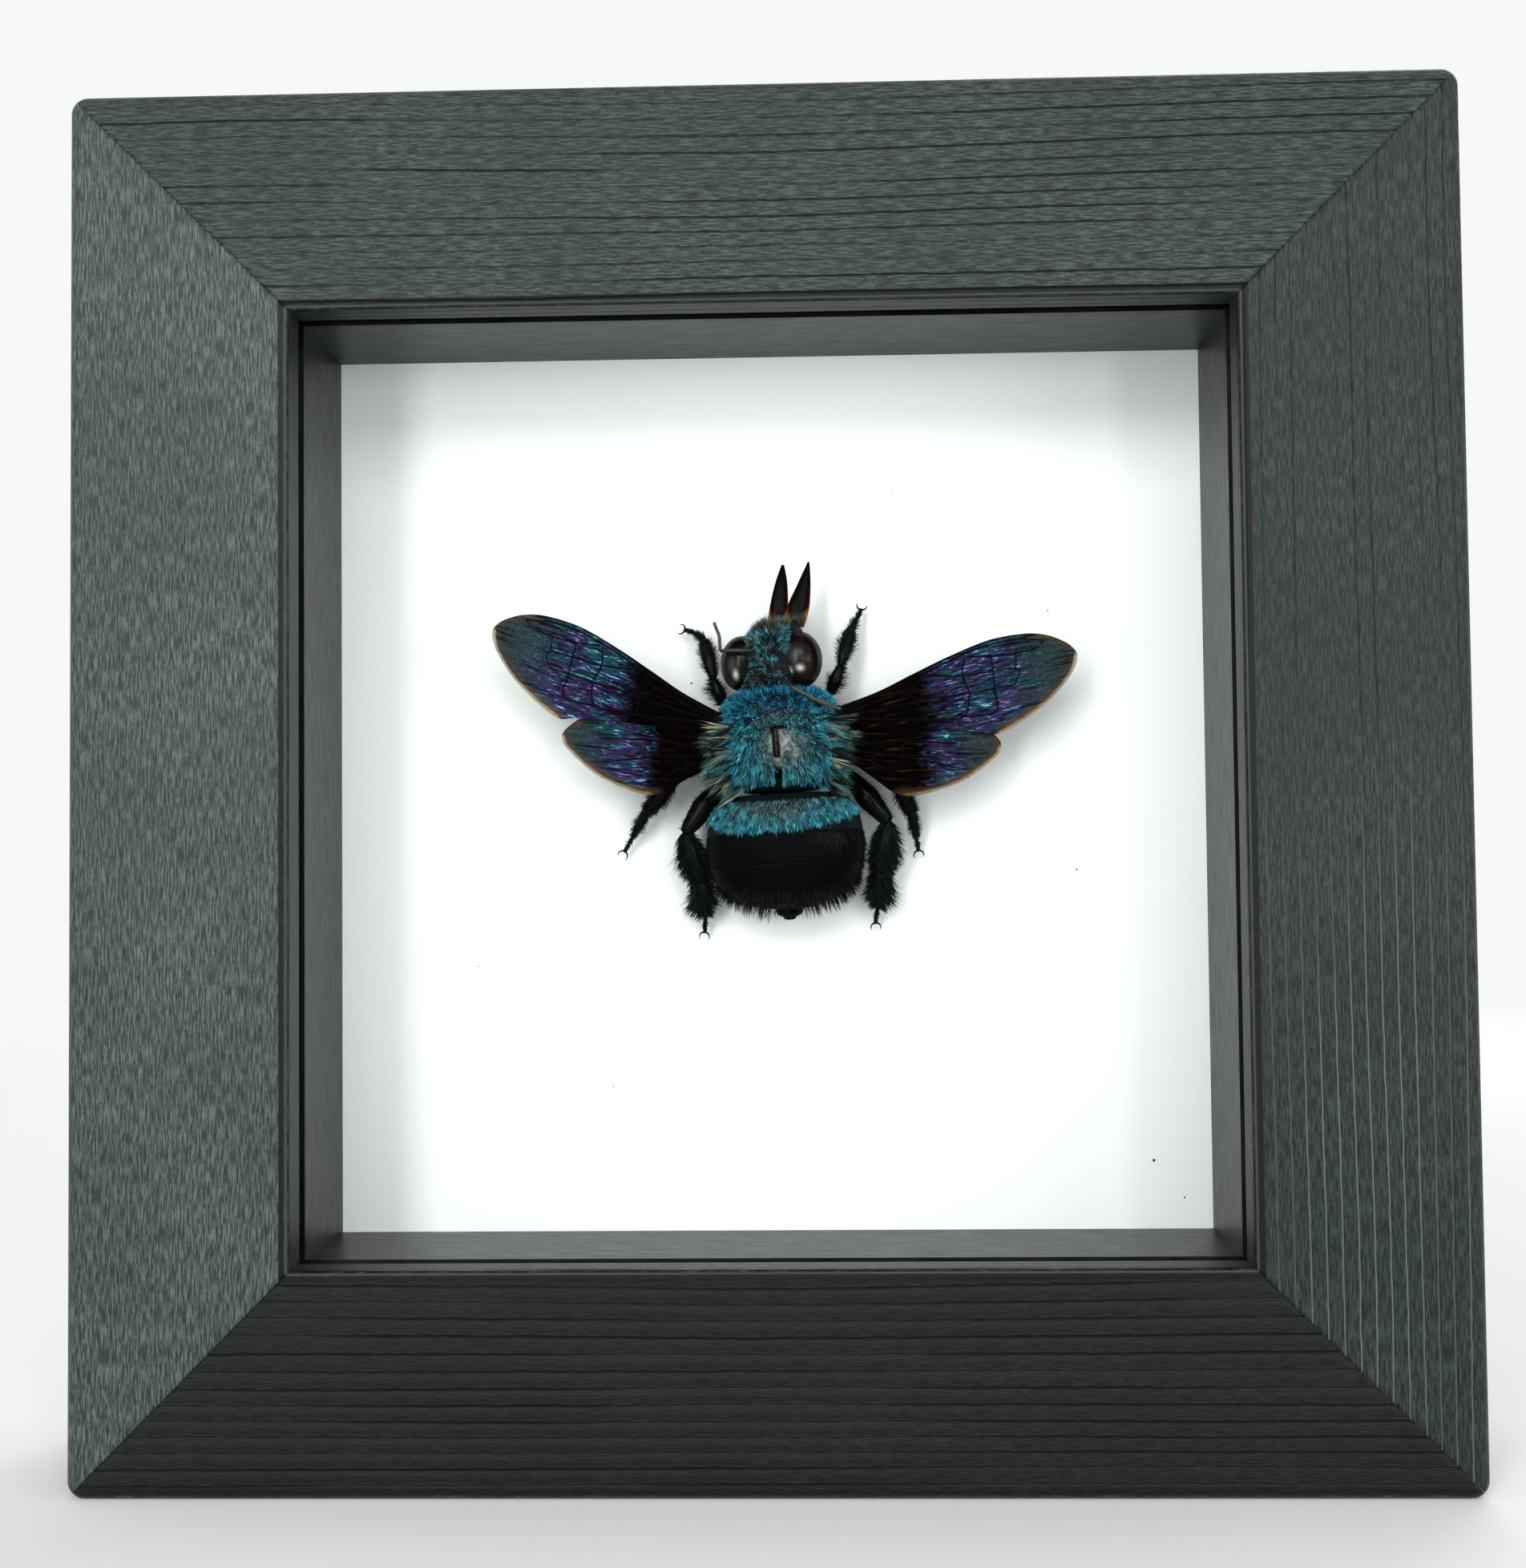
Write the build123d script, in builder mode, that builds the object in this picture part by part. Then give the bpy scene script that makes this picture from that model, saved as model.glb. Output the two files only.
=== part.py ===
"""A blue carpenter bee, spread and dried, in a black wooden shadow-box frame.

Millimetres. The frame stands on its bottom rail: +Z is up, the glass faces -Y and X runs to the right
as seen from the front. The origin is the middle of the base. Left and right are as seen from the front.
"""

import os
from math import cos, radians, sin

from build123d import *

# Frame moulding
frame_width = 127.0
frame_height = 128.0
rail_width = 20.4
rabbet_width = 6.5
corner_radius = 1.6
front_edge_round = 1.3
sight_edge_round = 0.5

# Layers behind the front face, from front to back
lip_depth = 4.0
glass_thickness = 2.0
spacer_depth = 15.5
mount_board_thickness = 3.0
backing_thickness = 3.5
pane_clearance = 0.5
spacer_clearance = 0.2

# V-shaped nails across each mitre, driven from the back
v_nail_leg = 4.6
v_nail_thickness = 0.6
v_nail_height = 10.0
v_nail_offsets = (5.6, 9.6)

# Turn buttons that hold the backing panel, and their screws
button_thickness = 0.9
button_play = 0.1
button_head_radius = 3.6
button_tip_radius = 1.8
button_reach = 9.2
button_pivot_inset = 4.5
screw_radius = 1.25
screw_bite = 9.0
screw_head_radius = 2.6
screw_head_height = 1.5
screw_slot_width = 0.6
screw_slot_depth = 0.6
swivel_clearance = 0.06

# Sawtooth hanger on the top rail, and its square-shanked nails
hanger_length = 34.0
hanger_height = 7.5
hanger_thickness = 0.8
hanger_stand = 1.4
hanger_foot = 6.0
hanger_ramp = 2.0
hanger_tooth_pitch = 1.6
hanger_tooth_depth = 1.1
hanger_tooth_count = 9
hanger_nail_width = 1.2
hanger_nail_bite = 9.0
hanger_nail_head_radius = 1.4
hanger_nail_head_height = 0.5

# Where the bee lies on the mount board: from the middle of the frame to the middle of its thorax
bee_right = 1.1
bee_up = 4.5
bee_turn = 2.6

# Body of the bee. Distances run along the body towards the head, and heights are above the mount board
thorax_height = 6.2
thorax_flatness = 0.865
abdomen_flatness = 0.63
head_flatness = 0.95
thorax_front = 4.8
thorax_rear = -4.8
pronotum_seam = 3.9
propodeum_seam = -3.9
petiole_radius = 1.3
petiole_length = 0.3
knob_front = -16.3
knob_rear = -17.1
knob_height = 4.7
knob_shape = ((0, 1.4), (0.6, 1.2), (1, 0.6))
adhesive_width = 3.6
adhesive_spots = (0.4, -10.2)

# Head. The eyes' places are side, distance from the midline, height and upward tilt
eye_length = 5.3
eye_width = 4.2
eye_bulge = 1.9
eye_middle = 7.7
eye_dome = ((0, 1), (0.35, 0.95), (0.65, 0.79), (0.88, 0.5), (1, 0.2))
eye_places = {"left": (-1, 3.2, 6.2, 12), "right": (1, 2.4, 7.4, 35)}
scape_radius = 0.16
flagellum_radius = 0.2

# Facets around the body and around each leg and antenna, small beside the hair that covers them
body_facets = 32
limb_facets = 8

# Wings
membrane = 0.12
vein_width = 0.24
vein_height = 0.1
wing_gap = 0.1
wing_base_height = 7.6
wing_droop = 1.4
wing_root_x = 5.4
forewing_root_y = 2.2
hindwing_root_y = -1.1
forewing_rise = (24.0, 9.7)
hindwing_rise = (9.6, -2.6)
tegula_radius = 0.85
tegula_rise = 0.5
tegula_x = 5.75
tegula_y = 2.1

# Depths of the layers in the row's frame
frame_depth = lip_depth + glass_thickness + spacer_depth + mount_board_thickness + backing_thickness
hardware_stand = 2 * button_play + button_thickness + screw_head_height
front_y = -(frame_depth + hardware_stand) / 2
glass_y = front_y + lip_depth
spacer_y = glass_y + glass_thickness
board_y = spacer_y + spacer_depth
backing_y = board_y + mount_board_thickness
back_y = backing_y + backing_thickness
screw_head_y = back_y + 2 * button_play + button_thickness

middle_z = frame_height / 2
window_width = frame_width - 2 * rail_width
window_height = frame_height - 2 * rail_width
rabbet_x = window_width / 2 + rabbet_width
rabbet_z = window_height / 2 + rabbet_width
back_wall = rail_width - rabbet_width

os.makedirs("parts", exist_ok=True)


def save(piece, label):
    """Labels a finished piece and writes its STEP file."""
    piece.part.label = label
    export_step(piece.part, f"parts/{label}.step")


def front_view(y):
    """The plane at depth y, seen from the front, about the frame's middle. Less than 0 extrudes back."""
    return Plane(origin=(0, y, middle_z), x_dir=(1, 0, 0), z_dir=(0, -1, 0))


def mitre(side_x, side_z):
    """The plane of one mitre joint, facing the top or bottom rail."""
    corner = (side_x * frame_width / 2, 0, middle_z + side_z * frame_height / 2)
    return Plane(origin=corner, z_dir=(-side_x, 0, side_z))


def cut_side(side_x, side_z):
    """Cuts a whole mitred ring down to its top or bottom side, or to its left or right side."""
    if side_z:
        split(bisect_by=mitre(1, side_z), keep=Keep.TOP)
        split(bisect_by=mitre(-1, side_z), keep=Keep.TOP)
    else:
        split(bisect_by=mitre(side_x, 1), keep=Keep.BOTTOM)
        split(bisect_by=mitre(side_x, -1), keep=Keep.BOTTOM)


sides = {"top": (0, 1), "bottom": (0, -1), "left": (-1, 0), "right": (1, 0)}
corners = [(x, z) for x in (-1, 1) for z in (-1, 1)]

# Turn button screws, driven into the side rails beside the rabbet
pivot_x = rabbet_x + button_pivot_inset
button_sides = {"left": -1, "right": 1}
pivots = [(side * pivot_x, 0) for side in button_sides.values()]

with BuildPart() as turn_button_screws:
    with BuildSketch(front_view(back_y - screw_bite)):
        with Locations(pivots):
            Circle(screw_radius)
    extrude(amount=back_y - screw_bite - screw_head_y)
    with BuildSketch(front_view(screw_head_y)):
        with Locations(pivots):
            Circle(screw_head_radius)
    extrude(amount=-screw_head_height)
    with BuildSketch(front_view(screw_head_y + screw_head_height)):
        with Locations(pivots):
            Rectangle(2 * screw_head_radius, screw_slot_width)
    extrude(amount=screw_slot_depth, mode=Mode.SUBTRACT)
save(turn_button_screws, "turn_button_screws")

# V nails, two across each mitre
with BuildPart() as corner_v_nails:
    with BuildSketch(front_view(back_y)):
        for side_x, side_z in corners:
            for inset in v_nail_offsets:
                apex_x = side_x * (frame_width / 2 - inset)
                apex_z = side_z * (frame_height / 2 - inset)
                far_x = apex_x - side_x * v_nail_leg
                far_z = apex_z - side_z * v_nail_leg
                inner_x = apex_x - side_x * v_nail_thickness
                inner_z = apex_z - side_z * v_nail_thickness
                with BuildLine():
                    Polyline(
                        (apex_x, apex_z),
                        (far_x, apex_z),
                        (far_x, inner_z),
                        (inner_x, inner_z),
                        (inner_x, far_z),
                        (apex_x, far_z),
                        close=True,
                    )
                make_face()
    extrude(amount=v_nail_height)
save(corner_v_nails, "corner_v_nails")

# Sawtooth hanger: a strip whose middle stands off the rail, with teeth along its lower edge
hanger_z = middle_z + rabbet_z + back_wall / 2
hanger_back = back_y + hanger_thickness / 2
foot_end = hanger_length / 2
foot_start = foot_end - hanger_foot
ramp_end = foot_start - hanger_ramp
nail_x = foot_end - hanger_foot / 2
nail_spots = [(-nail_x, hanger_z - middle_z), (nail_x, hanger_z - middle_z)]

with BuildPart() as hanger_nails:
    with BuildSketch(front_view(back_y - hanger_nail_bite)):
        with Locations(nail_spots):
            Rectangle(hanger_nail_width, hanger_nail_width)
    extrude(amount=-(hanger_nail_bite + hanger_thickness))
    with BuildSketch(front_view(back_y + hanger_thickness)):
        with Locations(nail_spots):
            Circle(hanger_nail_head_radius)
    extrude(amount=-hanger_nail_head_height)
save(hanger_nails, "hanger_nails")

with BuildPart() as sawtooth_hanger:
    with BuildSketch(Plane.XY.offset(hanger_z - hanger_height / 2)):
        with BuildLine():
            Polyline(
                (-foot_end, hanger_back),
                (-foot_start, hanger_back),
                (-ramp_end, hanger_back + hanger_stand),
                (ramp_end, hanger_back + hanger_stand),
                (foot_start, hanger_back),
                (foot_end, hanger_back),
            )
        trace(line_width=hanger_thickness)
    extrude(amount=hanger_height)
    tooth_line = hanger_z - middle_z - hanger_height / 2
    tooth_gap = ((-hanger_tooth_pitch / 2, 0), (hanger_tooth_pitch / 2, 0), (0, hanger_tooth_depth))
    with BuildSketch(front_view(back_y)):
        with Locations((0, tooth_line)):
            with GridLocations(hanger_tooth_pitch, 1, hanger_tooth_count, 1):
                Polygon(*tooth_gap, align=None)
    extrude(amount=-(hanger_stand + 2 * hanger_thickness), mode=Mode.SUBTRACT)
    add(hanger_nails.part, mode=Mode.SUBTRACT)
save(sawtooth_hanger, "sawtooth_hanger")

# The moulding as one ring, then its four mitred rails
with BuildPart() as moulding:
    with BuildSketch(front_view(front_y)):
        RectangleRounded(frame_width, frame_height, corner_radius)
        Rectangle(window_width, window_height, mode=Mode.SUBTRACT)
    extrude(amount=-frame_depth)
    with BuildSketch(front_view(glass_y)):
        Rectangle(2 * rabbet_x, 2 * rabbet_z)
    extrude(amount=-(frame_depth - lip_depth), mode=Mode.SUBTRACT)
    front_face = moulding.faces().sort_by(Axis.Y)[0]
    fillet(front_face.outer_wire().edges(), front_edge_round)
    front_face = moulding.faces().sort_by(Axis.Y)[0]
    fillet(front_face.inner_wires()[0].edges(), sight_edge_round)

for side, (side_x, side_z) in sides.items():
    with BuildPart() as frame_rail:
        add(moulding.part)
        cut_side(side_x, side_z)
        add(corner_v_nails.part, mode=Mode.SUBTRACT)
        if side_x:
            add(turn_button_screws.part, mode=Mode.SUBTRACT)
        if side == "top":
            add(hanger_nails.part, mode=Mode.SUBTRACT)
    save(frame_rail, f"frame_rail_{side}")

# Glass, spacers, mount board and backing, stacked in the rabbet
pane_width = 2 * (rabbet_x - pane_clearance)
pane_height = 2 * (rabbet_z - pane_clearance)

with BuildPart() as glazing_pane:
    with BuildSketch(front_view(glass_y)):
        Rectangle(pane_width, pane_height)
    extrude(amount=-glass_thickness)
save(glazing_pane, "glazing_pane")

for side, (side_x, side_z) in sides.items():
    with BuildPart() as spacer:
        with BuildSketch(front_view(spacer_y)):
            Rectangle(2 * (rabbet_x - spacer_clearance), 2 * (rabbet_z - spacer_clearance))
            Rectangle(window_width, window_height, mode=Mode.SUBTRACT)
        extrude(amount=-spacer_depth)
        cut_side(side_x, side_z)
    save(spacer, f"spacer_{side}")

with BuildPart() as mount_board:
    with BuildSketch(front_view(board_y)):
        Rectangle(pane_width, pane_height)
    extrude(amount=-mount_board_thickness)
save(mount_board, "mount_board")

with BuildPart() as backing_panel:
    with BuildSketch(front_view(backing_y)):
        Rectangle(pane_width, pane_height)
    extrude(amount=-backing_thickness)
save(backing_panel, "backing_panel")

# Turn buttons: a teardrop plate that swivels about its screw
for side, way in button_sides.items():
    pivot = (way * pivot_x, 0)
    tip = (way * (pivot_x - button_reach + button_tip_radius), 0)
    with BuildPart() as turn_button:
        with BuildSketch(front_view(back_y + button_play)):
            with Locations(pivot):
                Circle(button_head_radius)
            with Locations(tip):
                Circle(button_tip_radius)
            make_hull()
            with Locations(pivot):
                Circle(screw_radius + swivel_clearance, mode=Mode.SUBTRACT)
        extrude(amount=-button_thickness)
    save(turn_button, f"turn_button_{side}")

# The bee lies flat on the board: x to its own right side as seen, y towards its head, z off the board
turn = radians(bee_turn)
bee = Plane(
    origin=(bee_right, board_y, middle_z + bee_up),
    x_dir=(cos(turn), 0, sin(turn)),
    z_dir=(0, -1, 0),
)


def at(x, y, height):
    """A point of the bee, as a point of the frame."""
    return bee.from_local_coords(Vector(x, y, height))


def across(x, y, height):
    """A plane square to the body, facing the head."""
    return Plane(origin=at(x, y, height), x_dir=bee.x_dir, z_dir=bee.y_dir)


def oval(plane, half_width, half_height, facets):
    """The corners of a faceted oval on a plane."""
    turns = [radians(360 * step / facets) for step in range(facets)]
    corners = [Vector(half_width * cos(turn), half_height * sin(turn)) for turn in turns]
    return [plane.from_local_coords(corner) for corner in corners]


def flat_panel(*corners):
    """One flat facet."""
    return Face(Wire.make_polygon(corners))


def skin(ovals, flat_bands):
    """Adds a solid under one faceted skin over ovals. Bands that aren't flat get two panels a facet."""
    panels = [flat_panel(*ovals[0]), flat_panel(*ovals[-1])]
    for near, far in zip(ovals, ovals[1:]):
        for here in range(len(near)):
            before = here - 1
            if flat_bands:
                panels.append(flat_panel(near[before], near[here], far[here], far[before]))
            else:
                panels.append(flat_panel(near[before], near[here], far[here]))
                panels.append(flat_panel(near[before], far[here], far[before]))
    add(Solid(Shell(panels)))


def body(stations, flatness):
    """One banded skin over ovals of one flatness: (y, half width, middle x, middle height)."""
    ovals = []
    for y, half_width, x, height in stations:
        ovals.append(oval(across(x, y, height), half_width, flatness * half_width, body_facets))
    skin(ovals, flat_bands=True)


def rings_between(start, end, shape):
    """The rings of one straight stretch of a limb, from its shape: (share of the way, radius)."""
    way = end - start
    return [(start + share * way, way, radius) for share, radius in shape]


def limb(rings):
    """One faceted skin over rings along a bent path: (middle, direction, radius)."""
    ovals = []
    for middle, way, radius in rings:
        ring_plane = Plane(origin=middle, x_dir=way.cross(bee.z_dir), z_dir=way)
        ovals.append(oval(ring_plane, radius, radius, limb_facets))
    skin(ovals, flat_bands=False)


# Thorax, with the collar in front and the steep rear plate as pieces of their own
thorax_stations = (
    (thorax_front, 3.2, 0, thorax_height),
    (4.4, 4.2, 0, thorax_height),
    (3.5, 5.1, 0, thorax_height),
    (2.0, 5.65, 0, thorax_height),
    (-0.3, 5.9, 0, thorax_height),
    (-2.4, 5.7, 0, thorax_height),
    (-3.9, 5.0, 0, thorax_height),
    (thorax_rear, 3.8, 0, thorax_height),
)
with BuildPart() as thorax_form:
    body(thorax_stations, thorax_flatness)

with BuildPart() as pronotum:
    add(thorax_form.part)
    split(bisect_by=across(0, pronotum_seam, thorax_height), keep=Keep.TOP)
save(pronotum, "pronotum")

with BuildPart() as propodeum:
    add(thorax_form.part)
    split(bisect_by=across(0, propodeum_seam, thorax_height), keep=Keep.BOTTOM)
save(propodeum, "propodeum")

with BuildPart() as thorax:
    add(thorax_form.part)
    split(bisect_by=across(0, pronotum_seam, thorax_height), keep=Keep.BOTTOM)
    split(bisect_by=across(0, propodeum_seam, thorax_height), keep=Keep.TOP)
save(thorax, "thorax")

# Waist and abdomen
abdomen_front = thorax_rear - petiole_length
with BuildPart() as petiole:
    with BuildSketch(across(0, abdomen_front, thorax_height)):
        Circle(petiole_radius)
    extrude(amount=petiole_length)
save(petiole, "petiole")

abdomen_segments = (
    (
        (abdomen_front, 4.8, 0, 6.0),
        (-5.9, 6.2, 0, 5.9),
        (-7.2, 7.2, 0, 5.8),
        (-8.9, 7.6, 0, 5.8),
    ),
    ((-8.9, 7.5, 0, 5.8), (-10.4, 7.7, 0, 5.7), (-11.9, 7.55, 0, 5.6)),
    ((-11.9, 7.4, 0, 5.6), (-13.2, 7.15, 0, 5.4), (-14.4, 6.45, 0, 5.2)),
    ((-14.4, 6.3, 0, 5.2), (-15.5, 4.5, 0, 4.9)),
    ((-15.5, 4.3, 0, 4.9), (knob_front, 2.2, 0, knob_height)),
)
segments = []
for number, stations in enumerate(abdomen_segments, 1):
    with BuildPart() as abdomen_segment:
        body(stations, abdomen_flatness)
    save(abdomen_segment, f"abdomen_segment_{number}")
    segments.append(abdomen_segment.part)

# The last segment is a small blunt knob
with BuildPart() as abdomen_segment:
    limb(rings_between(at(0, knob_front, knob_height), at(0, knob_rear, knob_height), knob_shape))
save(abdomen_segment, "abdomen_segment_6")

# Adhesive pads between the board and the underside of the thorax and the abdomen
with BuildPart() as adhesive_pads:
    for spot in adhesive_spots:
        with BuildSketch(Plane(origin=at(0, spot, 0), x_dir=bee.x_dir, z_dir=bee.z_dir)):
            Rectangle(adhesive_width, adhesive_width)
        extrude(amount=adhesive_width)
    add(thorax_form.part, mode=Mode.SUBTRACT)
    for segment in segments:
        add(segment, mode=Mode.SUBTRACT)
save(adhesive_pads, "adhesive_pads")

# Head capsule, cut flat on each side where an eye sits
head_stations = (
    (thorax_front, 2.5, -0.3, 6.2),
    (5.9, 3.3, -0.3, 6.3),
    (7.6, 3.55, -0.2, 6.3),
    (9.4, 3.2, 0.2, 6.2),
    (10.9, 2.4, 0.8, 5.8),
    (11.6, 1.6, 1.1, 5.4),
)
eye_seats = {}
for side, (way, x, height, tilt) in eye_places.items():
    middle = at(way * x, eye_middle, height)
    outward = bee.x_dir * way * cos(radians(tilt)) + bee.z_dir * sin(radians(tilt))
    eye_seats[side] = Plane(origin=middle, x_dir=bee.y_dir, z_dir=outward)

with BuildPart() as head:
    body(head_stations, head_flatness)
    for seat in eye_seats.values():
        split(bisect_by=seat, keep=Keep.BOTTOM)
save(head, "head")

# Eyes: domes on those flats
for side, seat in eye_seats.items():
    rims = []
    for rise, size in eye_dome:
        rim_plane = seat.offset(rise * eye_bulge)
        rims.append(oval(rim_plane, size * eye_length / 2, size * eye_width / 2, body_facets))
    with BuildPart() as compound_eye:
        skin(rims, flat_bands=True)
    save(compound_eye, f"compound_eye_{side}")

# Galeae: the two keeled, pointed blades of the mouthparts, each (y, half width, half thickness, x, height)
galea_blades = {
    "left": (
        (11.2, 0.8, 0.3, 0.35, 5.3),
        (13.2, 0.75, 0.3, 0.6, 5.0),
        (15.6, 0.5, 0.2, 0.95, 4.6),
        (17.45, 0.12, 0.08, 1.2, 4.2),
    ),
    "right": (
        (11.1, 0.7, 0.3, 2.1, 5.3),
        (13.0, 0.75, 0.3, 2.6, 5.0),
        (15.4, 0.5, 0.2, 3.2, 4.6),
        (17.6, 0.08, 0.06, 3.75, 4.2),
    ),
}
for side, stations in galea_blades.items():
    sections = []
    for y, half_width, half_thickness, x, height in stations:
        with BuildSketch(across(x, y, height)) as section:
            keel = (0, half_thickness)
            edge = (half_width, 0)
            Polygon(edge, keel, (-half_width, 0), (0, -half_thickness), align=None)
        sections.append(section.sketch)
    with BuildPart() as galea:
        loft(sections, ruled=True)
        add(head.part, mode=Mode.SUBTRACT)
    save(galea, f"galea_{side}")

# Antennae: a thin scape, then a flagellum that bends through an arc
antenna_paths = {
    "left": ((-2.1, 8.7, 9.0), (-5.2, 8.9, 8.4), (-5.25, 10.4, 8.0), (-5.7, 11.8, 7.7)),
    "right": ((0.2, 6.0, 9.3), (1.6, 4.8, 10.8), (3.9, 3.4, 10.6), (6.1, 2.45, 10.3)),
}
scape_shape = ((0, 1), (0.93, 1))
flagellum_shape = ((0.1, 0.8), (0.4, 1), (0.7, 1), (1, 0.7))
for side, path in antenna_paths.items():
    base, elbow, bend, tip = (at(*place) for place in path)
    rings = rings_between(base, elbow, [(share, size * scape_radius) for share, size in scape_shape])
    for share, size in flagellum_shape:
        near, far = elbow + share * (bend - elbow), bend + share * (tip - bend)
        rings.append((near + share * (far - near), far - near, size * flagellum_radius))
    with BuildPart() as antenna:
        limb(rings)
        add(head.part, mode=Mode.SUBTRACT)
    save(antenna, f"antenna_{side}")


def wing_plane(side, root_y, rise, height):
    """A wing's own plane: x from its root to its tip, z off the board. Side is -1 for the left wing."""
    root = at(side * wing_root_x, root_y, height)
    tilt, droop = radians(rise), radians(wing_droop)
    outward = Vector(side * cos(tilt) * cos(droop), sin(tilt) * cos(droop), -sin(droop))
    tip_way = bee.from_local_coords(outward) - bee.from_local_coords(Vector(0, 0, 0))
    up = Vector(side * cos(tilt) * sin(droop), sin(tilt) * sin(droop), cos(droop))
    off_board = bee.from_local_coords(up) - bee.from_local_coords(Vector(0, 0, 0))
    return Plane(origin=root, x_dir=tip_way, z_dir=off_board)


def wing(plane, side, front, margin, rear, veins):
    """A membrane with raised veins. Its edges run from the root round to the root, drawn for a right wing."""
    root = (rear[-1], front[0])
    with BuildSketch(plane) as outline:
        with BuildLine():
            Spline([(x, side * y) for x, y in front])
            Spline([(x, side * y) for x, y in margin])
            Spline([(x, side * y) for x, y in rear])
            Line([(x, side * y) for x, y in root])
        make_face()
    extrude(outline.sketch, amount=membrane)
    with BuildSketch(plane.offset(membrane)) as ribs:
        for vein in veins:
            with BuildLine():
                Polyline([(x, side * y) for x, y in vein])
            trace(line_width=vein_width)
    extrude(ribs.sketch, amount=vein_height)


forewing_front = (
    (-0.9, 0.35), (0.4, 0.55), (4.5, 1.15), (8.3, 2.1), (12.3, 3.05),
    (16.5, 3.7), (20.6, 3.3), (23.2, 1.9), (24.1, 0.4),
)
forewing_margin = ((24.1, 0.4), (23.3, -1.1), (21.1, -2.9), (18.4, -4.3), (15.2, -5.35))
forewing_rear = ((15.2, -5.35), (13.4, -4.8), (10.0, -3.6), (5.0, -2.0), (0.4, -0.85), (-0.9, -0.6))
forewing_veins = (
    ((0.6, 0.15), (8.6, 1.75), (14.4, 3.05), (18.4, 3.2), (21.4, 2.5)),
    ((13.8, 2.6), (16.8, 2.0), (20.2, 1.9), (21.4, 2.5)),
    ((0.6, -0.1), (7.2, 0.7), (9.2, 1.8)),
    ((7.2, 0.7), (8.4, -0.4), (13.2, -0.9), (17.6, -1.1)),
    ((0.6, -0.3), (6.4, -0.6), (8.4, -0.4)),
    ((13.4, 2.5), (12.9, 0.9), (13.2, -0.9)),
    ((9.2, 1.8), (12.9, 0.9), (18.0, 0.4), (17.6, -1.1)),
    ((16.0, 2.1), (15.6, -1.0)),
    ((18.4, 1.95), (18.0, 0.4)),
    ((0.6, -0.5), (6.0, -1.9), (11.0, -3.3)),
    ((8.4, -0.4), (8.0, -2.4)),
    ((13.2, -0.9), (12.0, -3.0), (8.0, -2.4)),
    ((15.6, -1.0), (15.2, -3.2), (12.0, -3.0)),
)
hindwing_front = ((-0.9, 0.35), (0.4, 0.7), (4.5, 2.5), (9.0, 3.1), (13.2, 2.6), (15.4, 1.1), (15.9, 0))
hindwing_margin = ((15.9, 0), (15.2, -1.1), (12.0, -3.3), (7.9, -4.55), (5.6, -4.3))
hindwing_rear = ((5.6, -4.3), (3.6, -2.9), (1.8, -1.6), (0.4, -0.8), (-0.9, -0.5))
hindwing_veins = (
    ((0.6, 0.2), (6.6, 0.7), (12.2, 0.3)),
    ((0.6, -0.05), (6.2, -0.8), (11.4, -1.9)),
    ((6.6, 0.7), (6.2, -0.8)),
    ((0.6, -0.3), (3.6, -1.5), (6.2, -3.2)),
    ((3.6, -0.4), (3.6, -1.5)),
)

# Left and right wings have the same shape and differ only in how far they are raised
hind_drop = membrane + vein_height + wing_gap
for name, side, fore_rise, hind_rise in (
    ("left", -1, forewing_rise[0], hindwing_rise[0]),
    ("right", 1, forewing_rise[1], hindwing_rise[1]),
):
    with BuildPart() as forewing:
        plane = wing_plane(side, forewing_root_y, fore_rise, wing_base_height)
        wing(plane, side, forewing_front, forewing_margin, forewing_rear, forewing_veins)
        add(thorax_form.part, mode=Mode.SUBTRACT)
    save(forewing, f"forewing_{name}")

    with BuildPart() as hindwing:
        plane = wing_plane(side, hindwing_root_y, hind_rise, wing_base_height - hind_drop)
        wing(plane, side, hindwing_front, hindwing_margin, hindwing_rear, hindwing_veins)
        add(thorax_form.part, mode=Mode.SUBTRACT)
    save(hindwing, f"hindwing_{name}")

    # Tegula: the small scale over the forewing's root
    tegula_base = Plane(origin=at(side * tegula_x, tegula_y, wing_base_height + hind_drop), z_dir=bee.z_dir)
    with BuildPart() as tegula:
        with BuildSketch(tegula_base) as scale_rim:
            Circle(tegula_radius)
        extrude(scale_rim.sketch, amount=tegula_rise)
        add(thorax_form.part, mode=Mode.SUBTRACT)
    save(tegula, f"tegula_{name}")

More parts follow.
